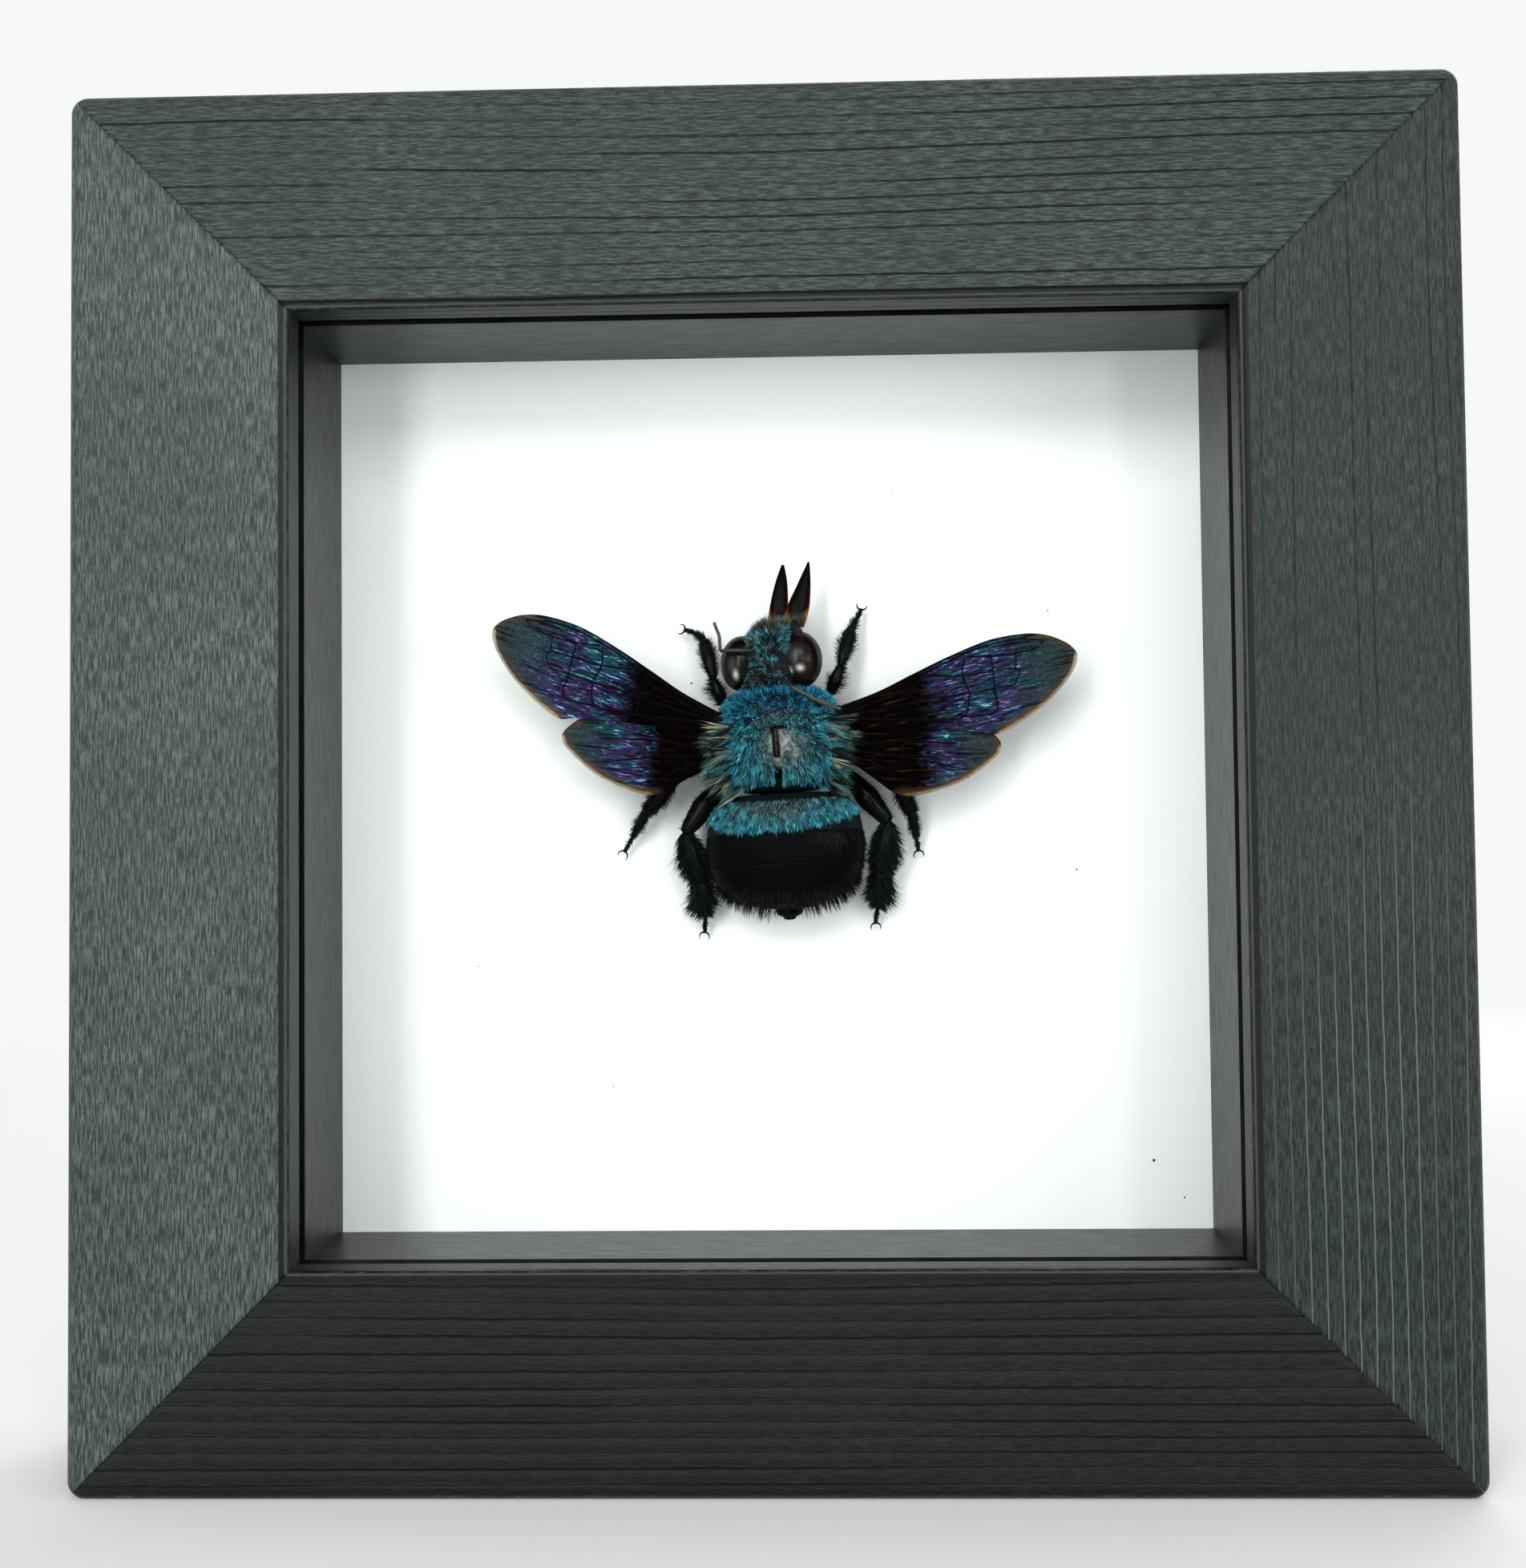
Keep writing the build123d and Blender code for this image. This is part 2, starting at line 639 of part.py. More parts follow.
# Legs: (x, y, height) of hip, femur start, knee, end of tibia, end of basitarsus, last tarsal joint
# and claws, then the radii of femur, tibia and basitarsus
legs = {
    "foreleg_left": (
        (
            (-3.6, 3.0, 2.8), (-5.4, 4.0, 3.4), (-6.2, 6.6, 3.6), (-7.0, 10.6, 2.4),
            (-7.9, 11.5, 1.8), (-8.8, 11.9, 1.3), (-9.4, 12.1, 0.9),
        ),
        (0.62, 0.6, 0.28),
    ),
    "foreleg_right": (
        (
            (3.4, 3.2, 2.8), (5.0, 4.4, 3.4), (6.3, 7.2, 3.6), (7.5, 10.8, 2.4),
            (8.2, 12.0, 1.8), (8.6, 12.8, 1.3), (8.75, 13.3, 0.9),
        ),
        (0.62, 0.6, 0.28),
    ),
    "middle_leg_left": (
        (
            (-4.0, 0.4, 2.6), (-5.8, -0.6, 3.0), (-10.4, -2.9, 3.9), (-13.6, -6.0, 2.6),
            (-15.2, -8.4, 1.7), (-16.0, -9.6, 1.2), (-16.4, -10.2, 0.9),
        ),
        (0.7, 0.72, 0.45),
    ),
    "middle_leg_right": (
        (
            (4.0, 0.2, 2.6), (5.8, -1.0, 3.0), (10.9, -3.6, 3.9), (12.5, -7.6, 2.6),
            (12.8, -10.0, 1.7), (12.95, -11.1, 1.2), (13.0, -11.6, 0.9),
        ),
        (0.7, 0.72, 0.45),
    ),
    "hind_leg_left": (
        (
            (-3.9, -3.0, 2.6), (-6.0, -3.6, 3.4), (-10.0, -8.4, 4.0), (-9.3, -13.2, 2.8),
            (-8.8, -16.4, 2.0), (-8.55, -18.0, 1.3), (-8.7, -18.8, 0.9),
        ),
        (1.15, 0.95, 0.75),
    ),
    "hind_leg_right": (
        (
            (3.9, -3.0, 2.6), (6.4, -3.4, 3.4), (10.4, -8.4, 4.0), (9.8, -13.2, 2.8),
            (8.9, -16.6, 2.0), (8.35, -18.0, 1.3), (8.35, -18.7, 0.9),
        ),
        (1.15, 0.95, 0.75),
    ),
}
tarsus_radius = 0.2
claw_radius = 0.09
claw_spread = 0.35
coxa_shape = ((0, 0.8), (0.7, 0.75))
femur_shape = ((0.15, 0.7), (0.5, 1), (0.9, 0.65))
tibia_shape = ((0.08, 0.6), (0.6, 1), (0.95, 0.8))
basitarsus_shape = ((0.1, 0.9), (0.95, 0.6))
tarsus_shape = ((0.15, 0.8), (1, 1))
for label, (joints, radii) in legs.items():
    femur, tibia, basitarsus = radii
    stretches = (
        (femur, coxa_shape),
        (femur, femur_shape),
        (tibia, tibia_shape),
        (basitarsus, basitarsus_shape),
        (tarsus_radius, tarsus_shape),
    )
    rings = []
    for start, end, (thickness, shape) in zip(joints, joints[1:], stretches):
        sizes = [(share, thickness * radius) for share, radius in shape]
        rings += rings_between(at(*start), at(*end), sizes)
    foot, toe = joints[-2], joints[-1]
    with BuildPart() as leg:
        limb(rings)
        for way in (-claw_spread, claw_spread):
            hook = at(toe[0] + way * (toe[1] - foot[1]), toe[1] - way * (toe[0] - foot[0]), toe[2])
            claw_axis = Plane(origin=at(*foot), z_dir=hook - at(*foot))
            with BuildSketch(claw_axis) as claw_section:
                Rectangle(2 * claw_radius, 2 * claw_radius)
            extrude(claw_section.sketch, amount=(hook - at(*foot)).length)
        add(thorax_form.part, mode=Mode.SUBTRACT)
    save(leg, label)
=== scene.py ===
"""Looks of the framed bee: painted frame rails, fittings at the back, board, and the dried bee with its hair and wings.

Metres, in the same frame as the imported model. Shapes of the bee are worked out in millimetres on the bee's own
axes: x to its right side in the picture, y towards the head, and h the height above the mount board.
"""

from math import cos, pi, radians, sin

import bpy
import numpy as np
from mathutils import Matrix, Vector


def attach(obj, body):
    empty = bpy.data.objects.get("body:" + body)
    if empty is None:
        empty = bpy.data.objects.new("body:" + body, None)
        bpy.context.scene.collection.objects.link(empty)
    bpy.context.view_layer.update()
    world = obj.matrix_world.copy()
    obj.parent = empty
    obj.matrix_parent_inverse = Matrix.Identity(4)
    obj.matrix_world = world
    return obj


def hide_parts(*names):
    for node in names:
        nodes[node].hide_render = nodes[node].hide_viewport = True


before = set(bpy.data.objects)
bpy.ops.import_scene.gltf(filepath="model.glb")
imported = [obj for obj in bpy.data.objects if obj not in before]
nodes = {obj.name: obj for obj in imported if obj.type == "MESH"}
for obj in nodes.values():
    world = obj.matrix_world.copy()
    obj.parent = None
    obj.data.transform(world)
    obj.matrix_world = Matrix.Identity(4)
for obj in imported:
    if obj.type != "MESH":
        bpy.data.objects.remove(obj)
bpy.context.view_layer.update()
MM = 0.001

# Sizes shared with the solids, in millimetres
frame_width, frame_height, rail_width, rabbet_width = 127.0, 128.0, 20.4, 6.5
corner_radius, front_round, sight_round = 1.6, 1.3, 0.5
front_y, lip_depth, back_y, board_y = -15.3, 4.0, 12.7, 6.2
middle_z = frame_height / 2
bee_right, bee_up, bee_turn = 1.1, 4.5, 2.6


# Number fields

def noise(x, y, seed=0):
    """Smooth noise from -1 to 1 over two number fields. One step of x or y is one feature."""
    table = np.random.RandomState(seed).rand(64, 64)
    x, y = np.asarray(x, float), np.asarray(y, float)
    i, j = np.floor(x).astype(int), np.floor(y).astype(int)
    a, b = x - i, y - j
    a, b = a * a * (3 - 2 * a), b * b * (3 - 2 * b)
    near = table[i % 64, j % 64] * (1 - a) + table[(i + 1) % 64, j % 64] * a
    far = table[i % 64, (j + 1) % 64] * (1 - a) + table[(i + 1) % 64, (j + 1) % 64] * a
    return 2 * (near * (1 - b) + far * b) - 1


def smooth(low, high, value):
    """0 below low, 1 above high and a soft step between them."""
    t = np.clip((np.asarray(value, float) - low) / (high - low), 0, 1)
    return t * t * (3 - 2 * t)


def bell(value, middle, wide):
    """1 at the middle, falling softly to 0 on both sides."""
    return np.exp(-((value - middle) / wide) ** 2)


def blob(x, y, middle, size):
    """1 at one place, falling softly to 0 around it, with its own size in x and in y."""
    return np.exp(-(((x - middle[0]) / size[0]) ** 2 + ((y - middle[1]) / size[1]) ** 2))


def vectors(*parts):
    """Points or directions from their x, y and z, each an array or one number for all."""
    return np.stack(np.broadcast_arrays(*parts), -1)


def unit(v):
    return v / np.maximum(np.linalg.norm(v, axis=-1, keepdims=True), 1e-9)


def curve_through(points, count):
    """Evenly spaced points on a smooth curve through the given ones."""
    p = np.asarray(points, float)
    p = np.vstack([2 * p[0] - p[1], p, 2 * p[-1] - p[-2]])
    line = []
    for i in range(1, len(p) - 2):
        t = np.linspace(0, 1, 24, endpoint=i == len(p) - 3)[:, None]
        a, b, c, d = p[i - 1], p[i], p[i + 1], p[i + 2]
        line.append(0.5 * (2 * b + (c - a) * t + (2 * a - 5 * b + 4 * c - d) * t ** 2
                           + (3 * b - a - 3 * c + d) * t ** 3))
    line = np.vstack(line)
    along = np.concatenate([[0], np.cumsum(np.linalg.norm(np.diff(line, axis=0), axis=1))])
    steps = np.linspace(0, along[-1], count)
    return np.stack([np.interp(steps, along, line[:, k]) for k in range(p.shape[1])], 1)


# Meshes

def new_piece(name, points, faces, material, slot, replaces=(), values=None, sharp=None):
    """A mesh piece from millimetre points in the row frame and arrays of 3 or 4 corners a face."""
    mesh = bpy.data.meshes.new(name)
    points = np.asarray(points, float) * MM
    mesh.vertices.add(len(points))
    mesh.vertices.foreach_set("co", points.astype(np.float32).ravel())
    corners = np.concatenate([f.ravel() for f in faces]).astype(np.int32)
    sizes = np.concatenate([np.full(len(f), f.shape[1]) for f in faces])
    starts = np.concatenate([[0], np.cumsum(sizes)[:-1]]).astype(np.int32)
    mesh.loops.add(len(corners))
    mesh.loops.foreach_set("vertex_index", corners)
    mesh.polygons.add(len(sizes))
    mesh.polygons.foreach_set("loop_start", starts)
    mesh.polygons.foreach_set("use_smooth", np.ones(len(sizes), bool))
    mesh.update(calc_edges=True)
    mesh.validate()
    for key, value in (values or {}).items():
        value = np.asarray(value, np.float32)
        if value.ndim == 1:
            mesh.attributes.new(key, "FLOAT", "POINT").data.foreach_set("value", value)
        else:
            colours = np.ones((len(value), 4), np.float32)
            colours[:, :3] = value
            mesh.attributes.new(key, "FLOAT_COLOR", "POINT").data.foreach_set("color", colours.ravel())
    if sharp:
        mesh.set_sharp_from_angle(angle=radians(sharp))
    piece = bpy.data.objects.new(name, mesh)
    bpy.context.scene.collection.objects.link(piece)
    mesh.materials.append(material)
    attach(piece, "case")
    if replaces:
        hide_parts(*replaces)


def grid_faces(rows, columns, around=False, start=0):
    """Four-cornered faces of a grid of points, closed across its columns if it goes around."""
    last = columns if around else columns - 1
    i, j = np.meshgrid(np.arange(rows - 1), np.arange(last), indexing="ij")
    i, j = i.ravel(), j.ravel()
    k = (j + 1) % columns
    return np.stack([i * columns + j, i * columns + k, (i + 1) * columns + k, (i + 1) * columns + j], 1) + start


def fan_faces(ring, tip):
    """Three-cornered faces from a closed ring of point numbers to one more point."""
    ring = np.asarray(ring)
    return np.stack([ring, np.roll(ring, -1), np.full(len(ring), tip)], 1)


bee_x = np.array([cos(radians(bee_turn)), 0, sin(radians(bee_turn))])
bee_y = np.array([-sin(radians(bee_turn)), 0, cos(radians(bee_turn))])
bee_h = np.array([0.0, -1.0, 0.0])
bee_middle = np.array([bee_right, board_y, middle_z + bee_up])


def on_bee(points):
    """The bee's own millimetre points, in the row frame."""
    p = np.asarray(points, float)
    return bee_middle + p[..., :1] * bee_x + p[..., 1:2] * bee_y + p[..., 2:3] * bee_h


def tube(points, radii, sides=12, flat=1.0, up=(0, 0, 1)):
    """Points and faces of a round tube with closed ends along a line. flat squashes it along up."""
    p = np.asarray(points, float)
    radii = np.broadcast_to(np.asarray(radii, float), (len(p),))
    along = unit(np.gradient(p, axis=0))
    side = unit(np.cross(along, np.asarray(up, float)))
    over = np.cross(side, along)
    turn = np.arange(sides) * 2 * pi / sides
    ring = side[:, None] * np.cos(turn)[None, :, None] + over[:, None] * np.sin(turn)[None, :, None] * flat
    body = (p[:, None] + ring * radii[:, None, None]).reshape(-1, 3)
    body = np.vstack([body, p[0] - along[0] * radii[0] * 0.5, p[-1] + along[-1] * radii[-1] * 0.5])
    last = len(p) * sides
    faces = [grid_faces(len(p), sides, True), fan_faces(np.arange(sides)[::-1], last),
             fan_faces(np.arange(last - sides, last), last + 1)]
    return body, faces


def joined(parts):
    """Several (points, faces) pairs as one."""
    points, faces, start = [], [], 0
    for part in parts:
        points.append(part[0])
        faces.extend(f + start for f in part[1])
        start += len(part[0])
    return np.vstack(points), faces


def bee_piece(name, shape, material, slot, *replaces, values=None):
    """A piece of the bee from points on its own axes and faces."""
    points, faces = shape
    new_piece(name, on_bee(points), faces, material, slot, replaces, values)


# Materials

class Look:
    """A procedural material, with short ways to make and link its nodes."""

    def __init__(self, name, **shader):
        self.material = bpy.data.materials.new(name)
        self.material.use_nodes = True
        self.tree = self.material.node_tree
        self.shader = self.tree.nodes["Principled BSDF"]
        self.set(**shader)

    def put(self, node, socket, value):
        """Links an output or sets a number or a colour."""
        if isinstance(value, bpy.types.NodeSocket):
            self.tree.links.new(value, node.inputs[socket])
            return
        if hasattr(value, "__len__") and len(value) == 3 and len(node.inputs[socket].default_value) == 4:
            value = (*value, 1)
        node.inputs[socket].default_value = value

    def add(self, kind, inputs=None, **settings):
        node = self.tree.nodes.new("ShaderNode" + kind)
        for key, value in settings.items():
            setattr(node, key, value)
        for key, value in (inputs or {}).items():
            self.put(node, key, value)
        return node

    def place(self, stretch=(1, 1, 1), turn=(0, 0, 0)):
        where = self.add("TexCoord").outputs["Object"]
        return self.add("Mapping", {"Vector": where, "Scale": stretch, "Rotation": turn}).outputs["Vector"]

    def noise(self, vector, scale, detail=3, roughness=0.55, distortion=0):
        return self.add("TexNoise", {"Vector": vector, "Scale": scale, "Detail": detail, "Roughness": roughness,
                                     "Distortion": distortion}).outputs["Fac"]

    def value(self, name):
        return self.add("Attribute", attribute_name=name).outputs["Fac"]

    def colour(self, name):
        return self.add("Attribute", attribute_name=name).outputs["Color"]

    def vector(self, x, y, z=0.0):
        return self.add("CombineXYZ", {"X": x, "Y": y, "Z": z}).outputs[0]

    def math(self, operation, *values):
        return self.add("Math", dict(enumerate(values)), operation=operation).outputs[0]

    def times(self, a, b):
        return self.math("MULTIPLY", a, b)

    def plus(self, a, b):
        return self.math("ADD", a, b)

    def off(self, a, b):
        """How far a lies from b, on either side."""
        return self.math("ABSOLUTE", self.math("SUBTRACT", a, b))

    def span(self, value, low, high, start=0.0, end=1.0):
        """A soft step from start, at low, to end, at high."""
        return self.add("MapRange", {"Value": value, "From Min": low, "From Max": high, "To Min": start, "To Max": end},
                        interpolation_type="SMOOTHSTEP").outputs["Result"]

    def ramp(self, value, *stops):
        node = self.add("ValToRGB", {"Fac": value})
        while len(node.color_ramp.elements) < len(stops):
            node.color_ramp.elements.new(0.5)
        for element, (place, colour) in zip(node.color_ramp.elements, stops):
            element.position, element.color = place, (*colour, 1)
        return node.outputs["Color"]

    def mix(self, amount, a, b):
        return self.add("Mix", {0: amount, 6: a, 7: b}, data_type="RGBA").outputs[2]

    def layers(self, colour, *coats):
        """A colour under coats of (amount, colour), the last on top."""
        for amount, coat in coats:
            colour = self.mix(amount, colour, coat)
        return colour

    def set(self, **values):
        for key, value in values.items():
            self.put(self.shader, key.replace("_", " "), value)
        return self.material

    def finish(self, colour, roughness, height, strength, distance, **more):
        """The material, with this colour and roughness and the relief of height, distance metres deep."""
        relief = self.add("Bump", {"Height": height, "Strength": strength, "Distance": distance})
        return self.set(Base_Color=colour, Roughness=roughness, Normal=relief.outputs["Normal"], **more)


def painted_wood():
    """Black satin paint over open grain. The rings come from each rail's own ring field."""
    look = Look("rail_paint", Roughness=0.42, Specular_IOR_Level=0.15)
    times, plus, off, span = look.times, look.plus, look.off, look.span
    where, across = look.place(), look.value("across")
    warp = look.noise(look.place((260, 260, 260)), 1.0, 3)
    phase = look.math("FRACT", look.math("MULTIPLY_ADD", warp, 0.16, look.value("ring")))
    line = times(span(off(phase, 0.5), 0.085, 0.01), look.value("open_grain"))
    # Ridge tops of the rings: raised in relief, with a painted highlight along them
    crest_and_painted_highlight = times(span(off(phase, 0.56), 0.085, 0.02), look.value("crest_and_painted_highlight"))
    fibre = look.noise(look.vector(times(across, 6200), times(look.value("along"), 560)), 1.0, 4, 0.75)
    orange_peel = look.noise(where, 2600, 2)
    pale = look.mix(span(look.noise(where, 60, 3), 0.35, 0.65), (0.093, 0.125, 0.115), (0.128, 0.160, 0.147))
    fleck = look.mix(span(fibre, 0.42, 0.62), (0.020, 0.031, 0.028), pale)
    worn = span(plus(look.value("edge"), times(look.noise(where, 900, 4, 0.7), 0.55)), 1.16, 1.42)
    # Real pale flecks, in a share set by each rail's tone, which is painted light and shade for its side
    tone = look.layers(
        (0.0006, 0.0010, 0.0010), (look.value("tone"), fleck), (line, (0.0012, 0.0012, 0.0012)),
        # The ridge-top highlight, then painted shade on the sight edge's rounding and inner wall, with the same
        # darkening over the back
        (crest_and_painted_highlight, (0.105, 0.135, 0.130)), (span(across, 0.01985, 0.01995, 0, 0.75), (0.0010, 0.0014, 0.0014)),
        # A dark line of painted shade along the sight edge
        (span(off(across, sight_edge_painted_shade), 0.00030, 0.00016, 0, 0.97), (0.0006, 0.0006, 0.0006)),
        # A pale line of painted highlight along the sight edge
        (span(off(across, sight_edge_painted_highlight), 0.00011, 0.00004, 0, 0.45), (0.080, 0.095, 0.090)),
        (worn, (0.075, 0.078, 0.070)))
    height = plus(times(fibre, 0.55), times(orange_peel, 0.25))
    height = plus(look.math("SUBTRACT", height, times(line, grain_depth)), crest_and_painted_highlight)
    return look.finish(tone, plus(span(fibre, 0.2, 0.8, 0.28, 0.50), times(line, 0.35)), height, 0.8, 0.00015)


def spacer_paint(name, light):
    """Black paint on the spacer strips, with painted shade where they meet the glass and the board, fine lines along
    them, and a brightness set by light as painted light and shade.
    """
    look = Look(name, Specular_IOR_Level=0.24)
    where, line_colour = look.place(), (0.0015, 0.0018, 0.0018)
    fine = look.noise(look.place((300, 2600, 300)), 1.0, 4, 0.6)
    peel = look.noise(where, 2600, 2)
    # light scales the colour, giving each wall a lighter or darker copy of the paint as painted light and shade
    low, high = (tuple(light * c for c in colour) for colour in ((0.0060, 0.0098, 0.0074), (0.020, 0.028, 0.022)))
    colour = look.ramp(fine, (0.3, low), (0.75, high))
    depth = look.add("SeparateXYZ", {0: where}).outputs["Y"]
    wavy = look.math("MULTIPLY_ADD", look.noise(where, 90, 2), 0.0005, depth)
    # Painted shade: black along the front of each strip, next to the glass
    colour = look.mix(look.span(wavy, -0.0079, -0.0083), colour, line_colour)
    for line in (-0.0052, -0.0002, 0.0040):
        colour = look.mix(look.span(look.off(wavy, line), 0.00016, 0.00005, 0, 0.7), colour, line_colour)
    # Painted shade: blue-black along the back edge of each strip, at the board
    colour = look.mix(look.span(depth, 0.0055, 0.0061), colour, (0.0040, 0.0055, 0.0080))
    return look.finish(colour, look.span(fine, 0.2, 0.8, 0.30, 0.50), look.plus(fine, look.times(peel, 0.3)),
                       0.35, 0.00007)


def white_board():
    """White card with a little fibre and cloud."""
    look = Look("white_card", Specular_IOR_Level=0.2)
    where = look.place()
    fibre, cloud = look.noise(where, 2400, 5, 0.65), look.noise(where, 28, 3)
    tone = look.ramp(look.plus(look.times(fibre, 0.35), look.times(cloud, 0.65)),
                     (0.3, (0.885, 0.888, 0.892)), (0.7, (0.925, 0.926, 0.926)))
    return look.finish(tone, look.span(fibre, 0.3, 0.7, 0.62, 0.8), fibre, 0.15, 0.00004)


def hardboard():
    """Brown pressed board with long dark flecks."""
    look = Look("hardboard", Specular_IOR_Level=0.3)
    fibre = look.noise(look.place(), 1500, 6, 0.7, 0.6)
    flecks = look.add("TexVoronoi", {"Vector": look.place((1, 1, 0.35), (0, 0.6, 0)), "Scale": 900}, feature="F1")
    colour = look.ramp(fibre, (0.25, (0.075, 0.036, 0.017)), (0.55, (0.165, 0.088, 0.043)), (0.8, (0.27, 0.165, 0.09)))
    colour = look.mix(look.span(flecks.outputs["Distance"], 0.16, 0.04, 0, 0.55), colour, (0.045, 0.021, 0.010))
    return look.finish(colour, look.span(fibre, 0.3, 0.7, 0.55, 0.8), fibre, 0.4, 0.0001)


def metal(name, colour, rough, brushed=(1400, 1400, 90)):
    """Plated or plain steel with brush marks and dull stains."""
    look = Look(name, Metallic=1.0)
    lines = look.noise(look.place(brushed), 1.0, 4, 0.6)
    stain = look.noise(look.place(), 420, 4, 0.65)
    tone = look.mix(look.span(stain, 0.52, 0.78, 0, 0.8), colour, tuple(0.55 * c for c in colour))
    shine = look.span(lines, 0.3, 0.7, rough - 0.08, rough + 0.08)
    return look.finish(tone, look.plus(shine, look.span(stain, 0.5, 0.8, 0, 0.18)),
                       look.plus(lines, look.times(stain, 0.6)), 0.25, 0.00005)


def pane_glass():
    """Clear glass that lets the lamps through to the board and shines only where it is seen from the side."""
    look = Look("pane_glass")
    clear = look.add("BsdfTransparent", {"Color": (0.985, 0.995, 0.99)})
    shine = look.add("BsdfGlossy", {"Color": (1, 1, 1), "Roughness": 0.03})
    facing = look.add("LayerWeight", {"Blend": 0.5}).outputs["Facing"]
    smear = look.noise(look.place((90, 90, 90)), 1.0, 4)
    amount = look.times(look.math("POWER", facing, 4.0), look.span(smear, 0.3, 0.8, 0.20, 0.30))
    mixed = look.add("MixShader", {0: amount, 1: clear.outputs[0], 2: shine.outputs[0]})
    look.tree.links.new(mixed.outputs[0], look.tree.nodes["Material Output"].inputs["Surface"])
    look.tree.nodes.remove(look.shader)
    return look.material


# Camera at the photograph's place

photo_height, photo_focal_length, sensor = 1957, 2709.78, 36


def in_scene(data):
    """A new object of this data, in the scene."""
    thing = bpy.data.objects.new(data.name, data)
    bpy.context.scene.collection.objects.link(thing)
    return thing


def add_camera():
    """The camera, from its turn and place on the photograph's axes: x right, y down and z away."""
    angles = Vector([radians(a) for a in (-2.30243, -1.91848, 0.59730)])
    turn = Matrix.Rotation(angles.length, 3, angles.normalized())
    away = Vector((0.06666, 0.24061, -195.2738))
    to_row = Matrix(((1, 0, 0), (0, 0, -1), (0, 1, 0)))
    eye = to_row @ (turn.transposed() @ -away) + Vector((0, front_y, middle_z))
    lens = bpy.data.cameras.new("camera")
    lens.sensor_fit, lens.sensor_height, lens.sensor_width = "AUTO", sensor, sensor
    lens.lens = photo_focal_length * sensor / photo_height
    lens.clip_start, lens.clip_end = 0.01, 50
    camera = in_scene(lens)
    matrix = Matrix([to_row @ turn.row[i] for i in range(3)]).transposed().to_4x4()
    matrix.translation = eye * MM
    camera.matrix_world = matrix
    bpy.context.scene.camera = camera


def add_world():
    """Pale surroundings for the camera and for reflections, and a softer light from all sides."""
    world = bpy.data.worlds.new("surroundings")
    bpy.context.scene.world = world
    world.use_nodes = True
    tree = world.node_tree
    tree.nodes.clear()

    def node(kind, *inputs, **settings):
        made = tree.nodes.new("ShaderNode" + kind)
        for key, value in settings.items():
            setattr(made, key, value)
        for i, value in enumerate(inputs):
            if isinstance(value, bpy.types.NodeSocket):
                tree.links.new(value, made.inputs[i])
            else:
                made.inputs[i].default_value = value
        return made

    rays = node("LightPath").outputs
    pale = node("Background", (0.93, 0.945, 0.935, 1)).outputs[0]
    fill = node("Background", (0.96, 0.98, 1.0, 1), 0.56).outputs[0]
    seen = node("Math", rays["Is Camera Ray"], rays["Is Glossy Ray"], operation="MAXIMUM").outputs[0]
    seen = node("Math", seen, rays["Is Transmission Ray"], operation="MAXIMUM").outputs[0]
    node("OutputWorld", node("MixShader", seen, fill, pale).outputs[0])


def add_floor():
    """A pale round floor that fades into the surroundings."""
    look = Look("pale_floor", Specular_IOR_Level=0.1, Roughness=0.9)
    where = look.add("TexCoord").outputs["Object"]
    away = look.add("VectorMath", {0: where}, operation="LENGTH").outputs["Value"]
    look.set(Base_Color=look.ramp(look.noise(where, 14, 3), (0.3, (0.915, 0.92, 0.905)), (0.7, (0.93, 0.935, 0.92))),
             Alpha=look.span(away, 0.75, 0.32))
    rings, sides = np.linspace(0, 0.78, 14)[1:], 64
    turns = np.linspace(0, 2 * pi, sides + 1)[:-1]
    points = [[0, 0, 0]] + [[r * cos(a), r * sin(a), 0] for r in rings for a in turns]
    faces = [*fan_faces(np.arange(1, sides + 1)[::-1], 0)[:, ::-1], *grid_faces(len(rings), sides, True, 1)]
    mesh = bpy.data.meshes.new("floor")
    mesh.from_pydata(points, [], [list(map(int, f)) for f in faces])
    mesh.materials.append(look.material)
    in_scene(mesh)


def add_lamps():
    """Soft studio lamps: name, place, width, height, watts and colour."""
    for name, place, wide, high, watts, colour in (
        ("key", (-0.06, -1.0, 0.56), 1.0, 0.34, 6.3, (0.98, 1, 0.985)),
        ("window", (-0.39, -1.0, 0.18), 0.18, 0.75, 5.6, (0.98, 1, 0.97)),
        ("side", (0.90, -0.80, 0.16), 0.6, 0.3, 3.0, (0.98, 1, 0.99)),
        ("glint", (0.42, -0.98, 0.13), 0.12, 0.18, 1.1, (1, 1, 1)),
        ("back", (0.35, 0.95, 0.70), 0.8, 0.6, 6, (1, 1, 1)),
    ):
        lamp = bpy.data.lights.new(name, "AREA")
        lamp.shape, lamp.size, lamp.size_y = "RECTANGLE", wide, high
        lamp.energy, lamp.color = watts, colour
        thing = in_scene(lamp)
        thing.location = place
        thing.rotation_euler = (Vector((0, 0, 0.06)) - Vector(place)).to_track_quat("-Z", "Y").to_euler()


# Frame rails

full_depth = back_y - front_y
nail_relief = 0.06
chamfer, edge_cut, lip_cut = 0.3, 0.4, 0.12
end_gap, end_share = 0.02, 0.965
joint_groove_width, joint_groove_depth = 0.35, 0.11
side_tone, grain_depth, first_ring = 0.16, 1.5, 7.3
# Places across the rail, in metres, of a dark line of painted shade and a pale line of painted highlight at the sight
# edge
sight_edge_painted_shade, sight_edge_painted_highlight = 0.01970, 0.02012


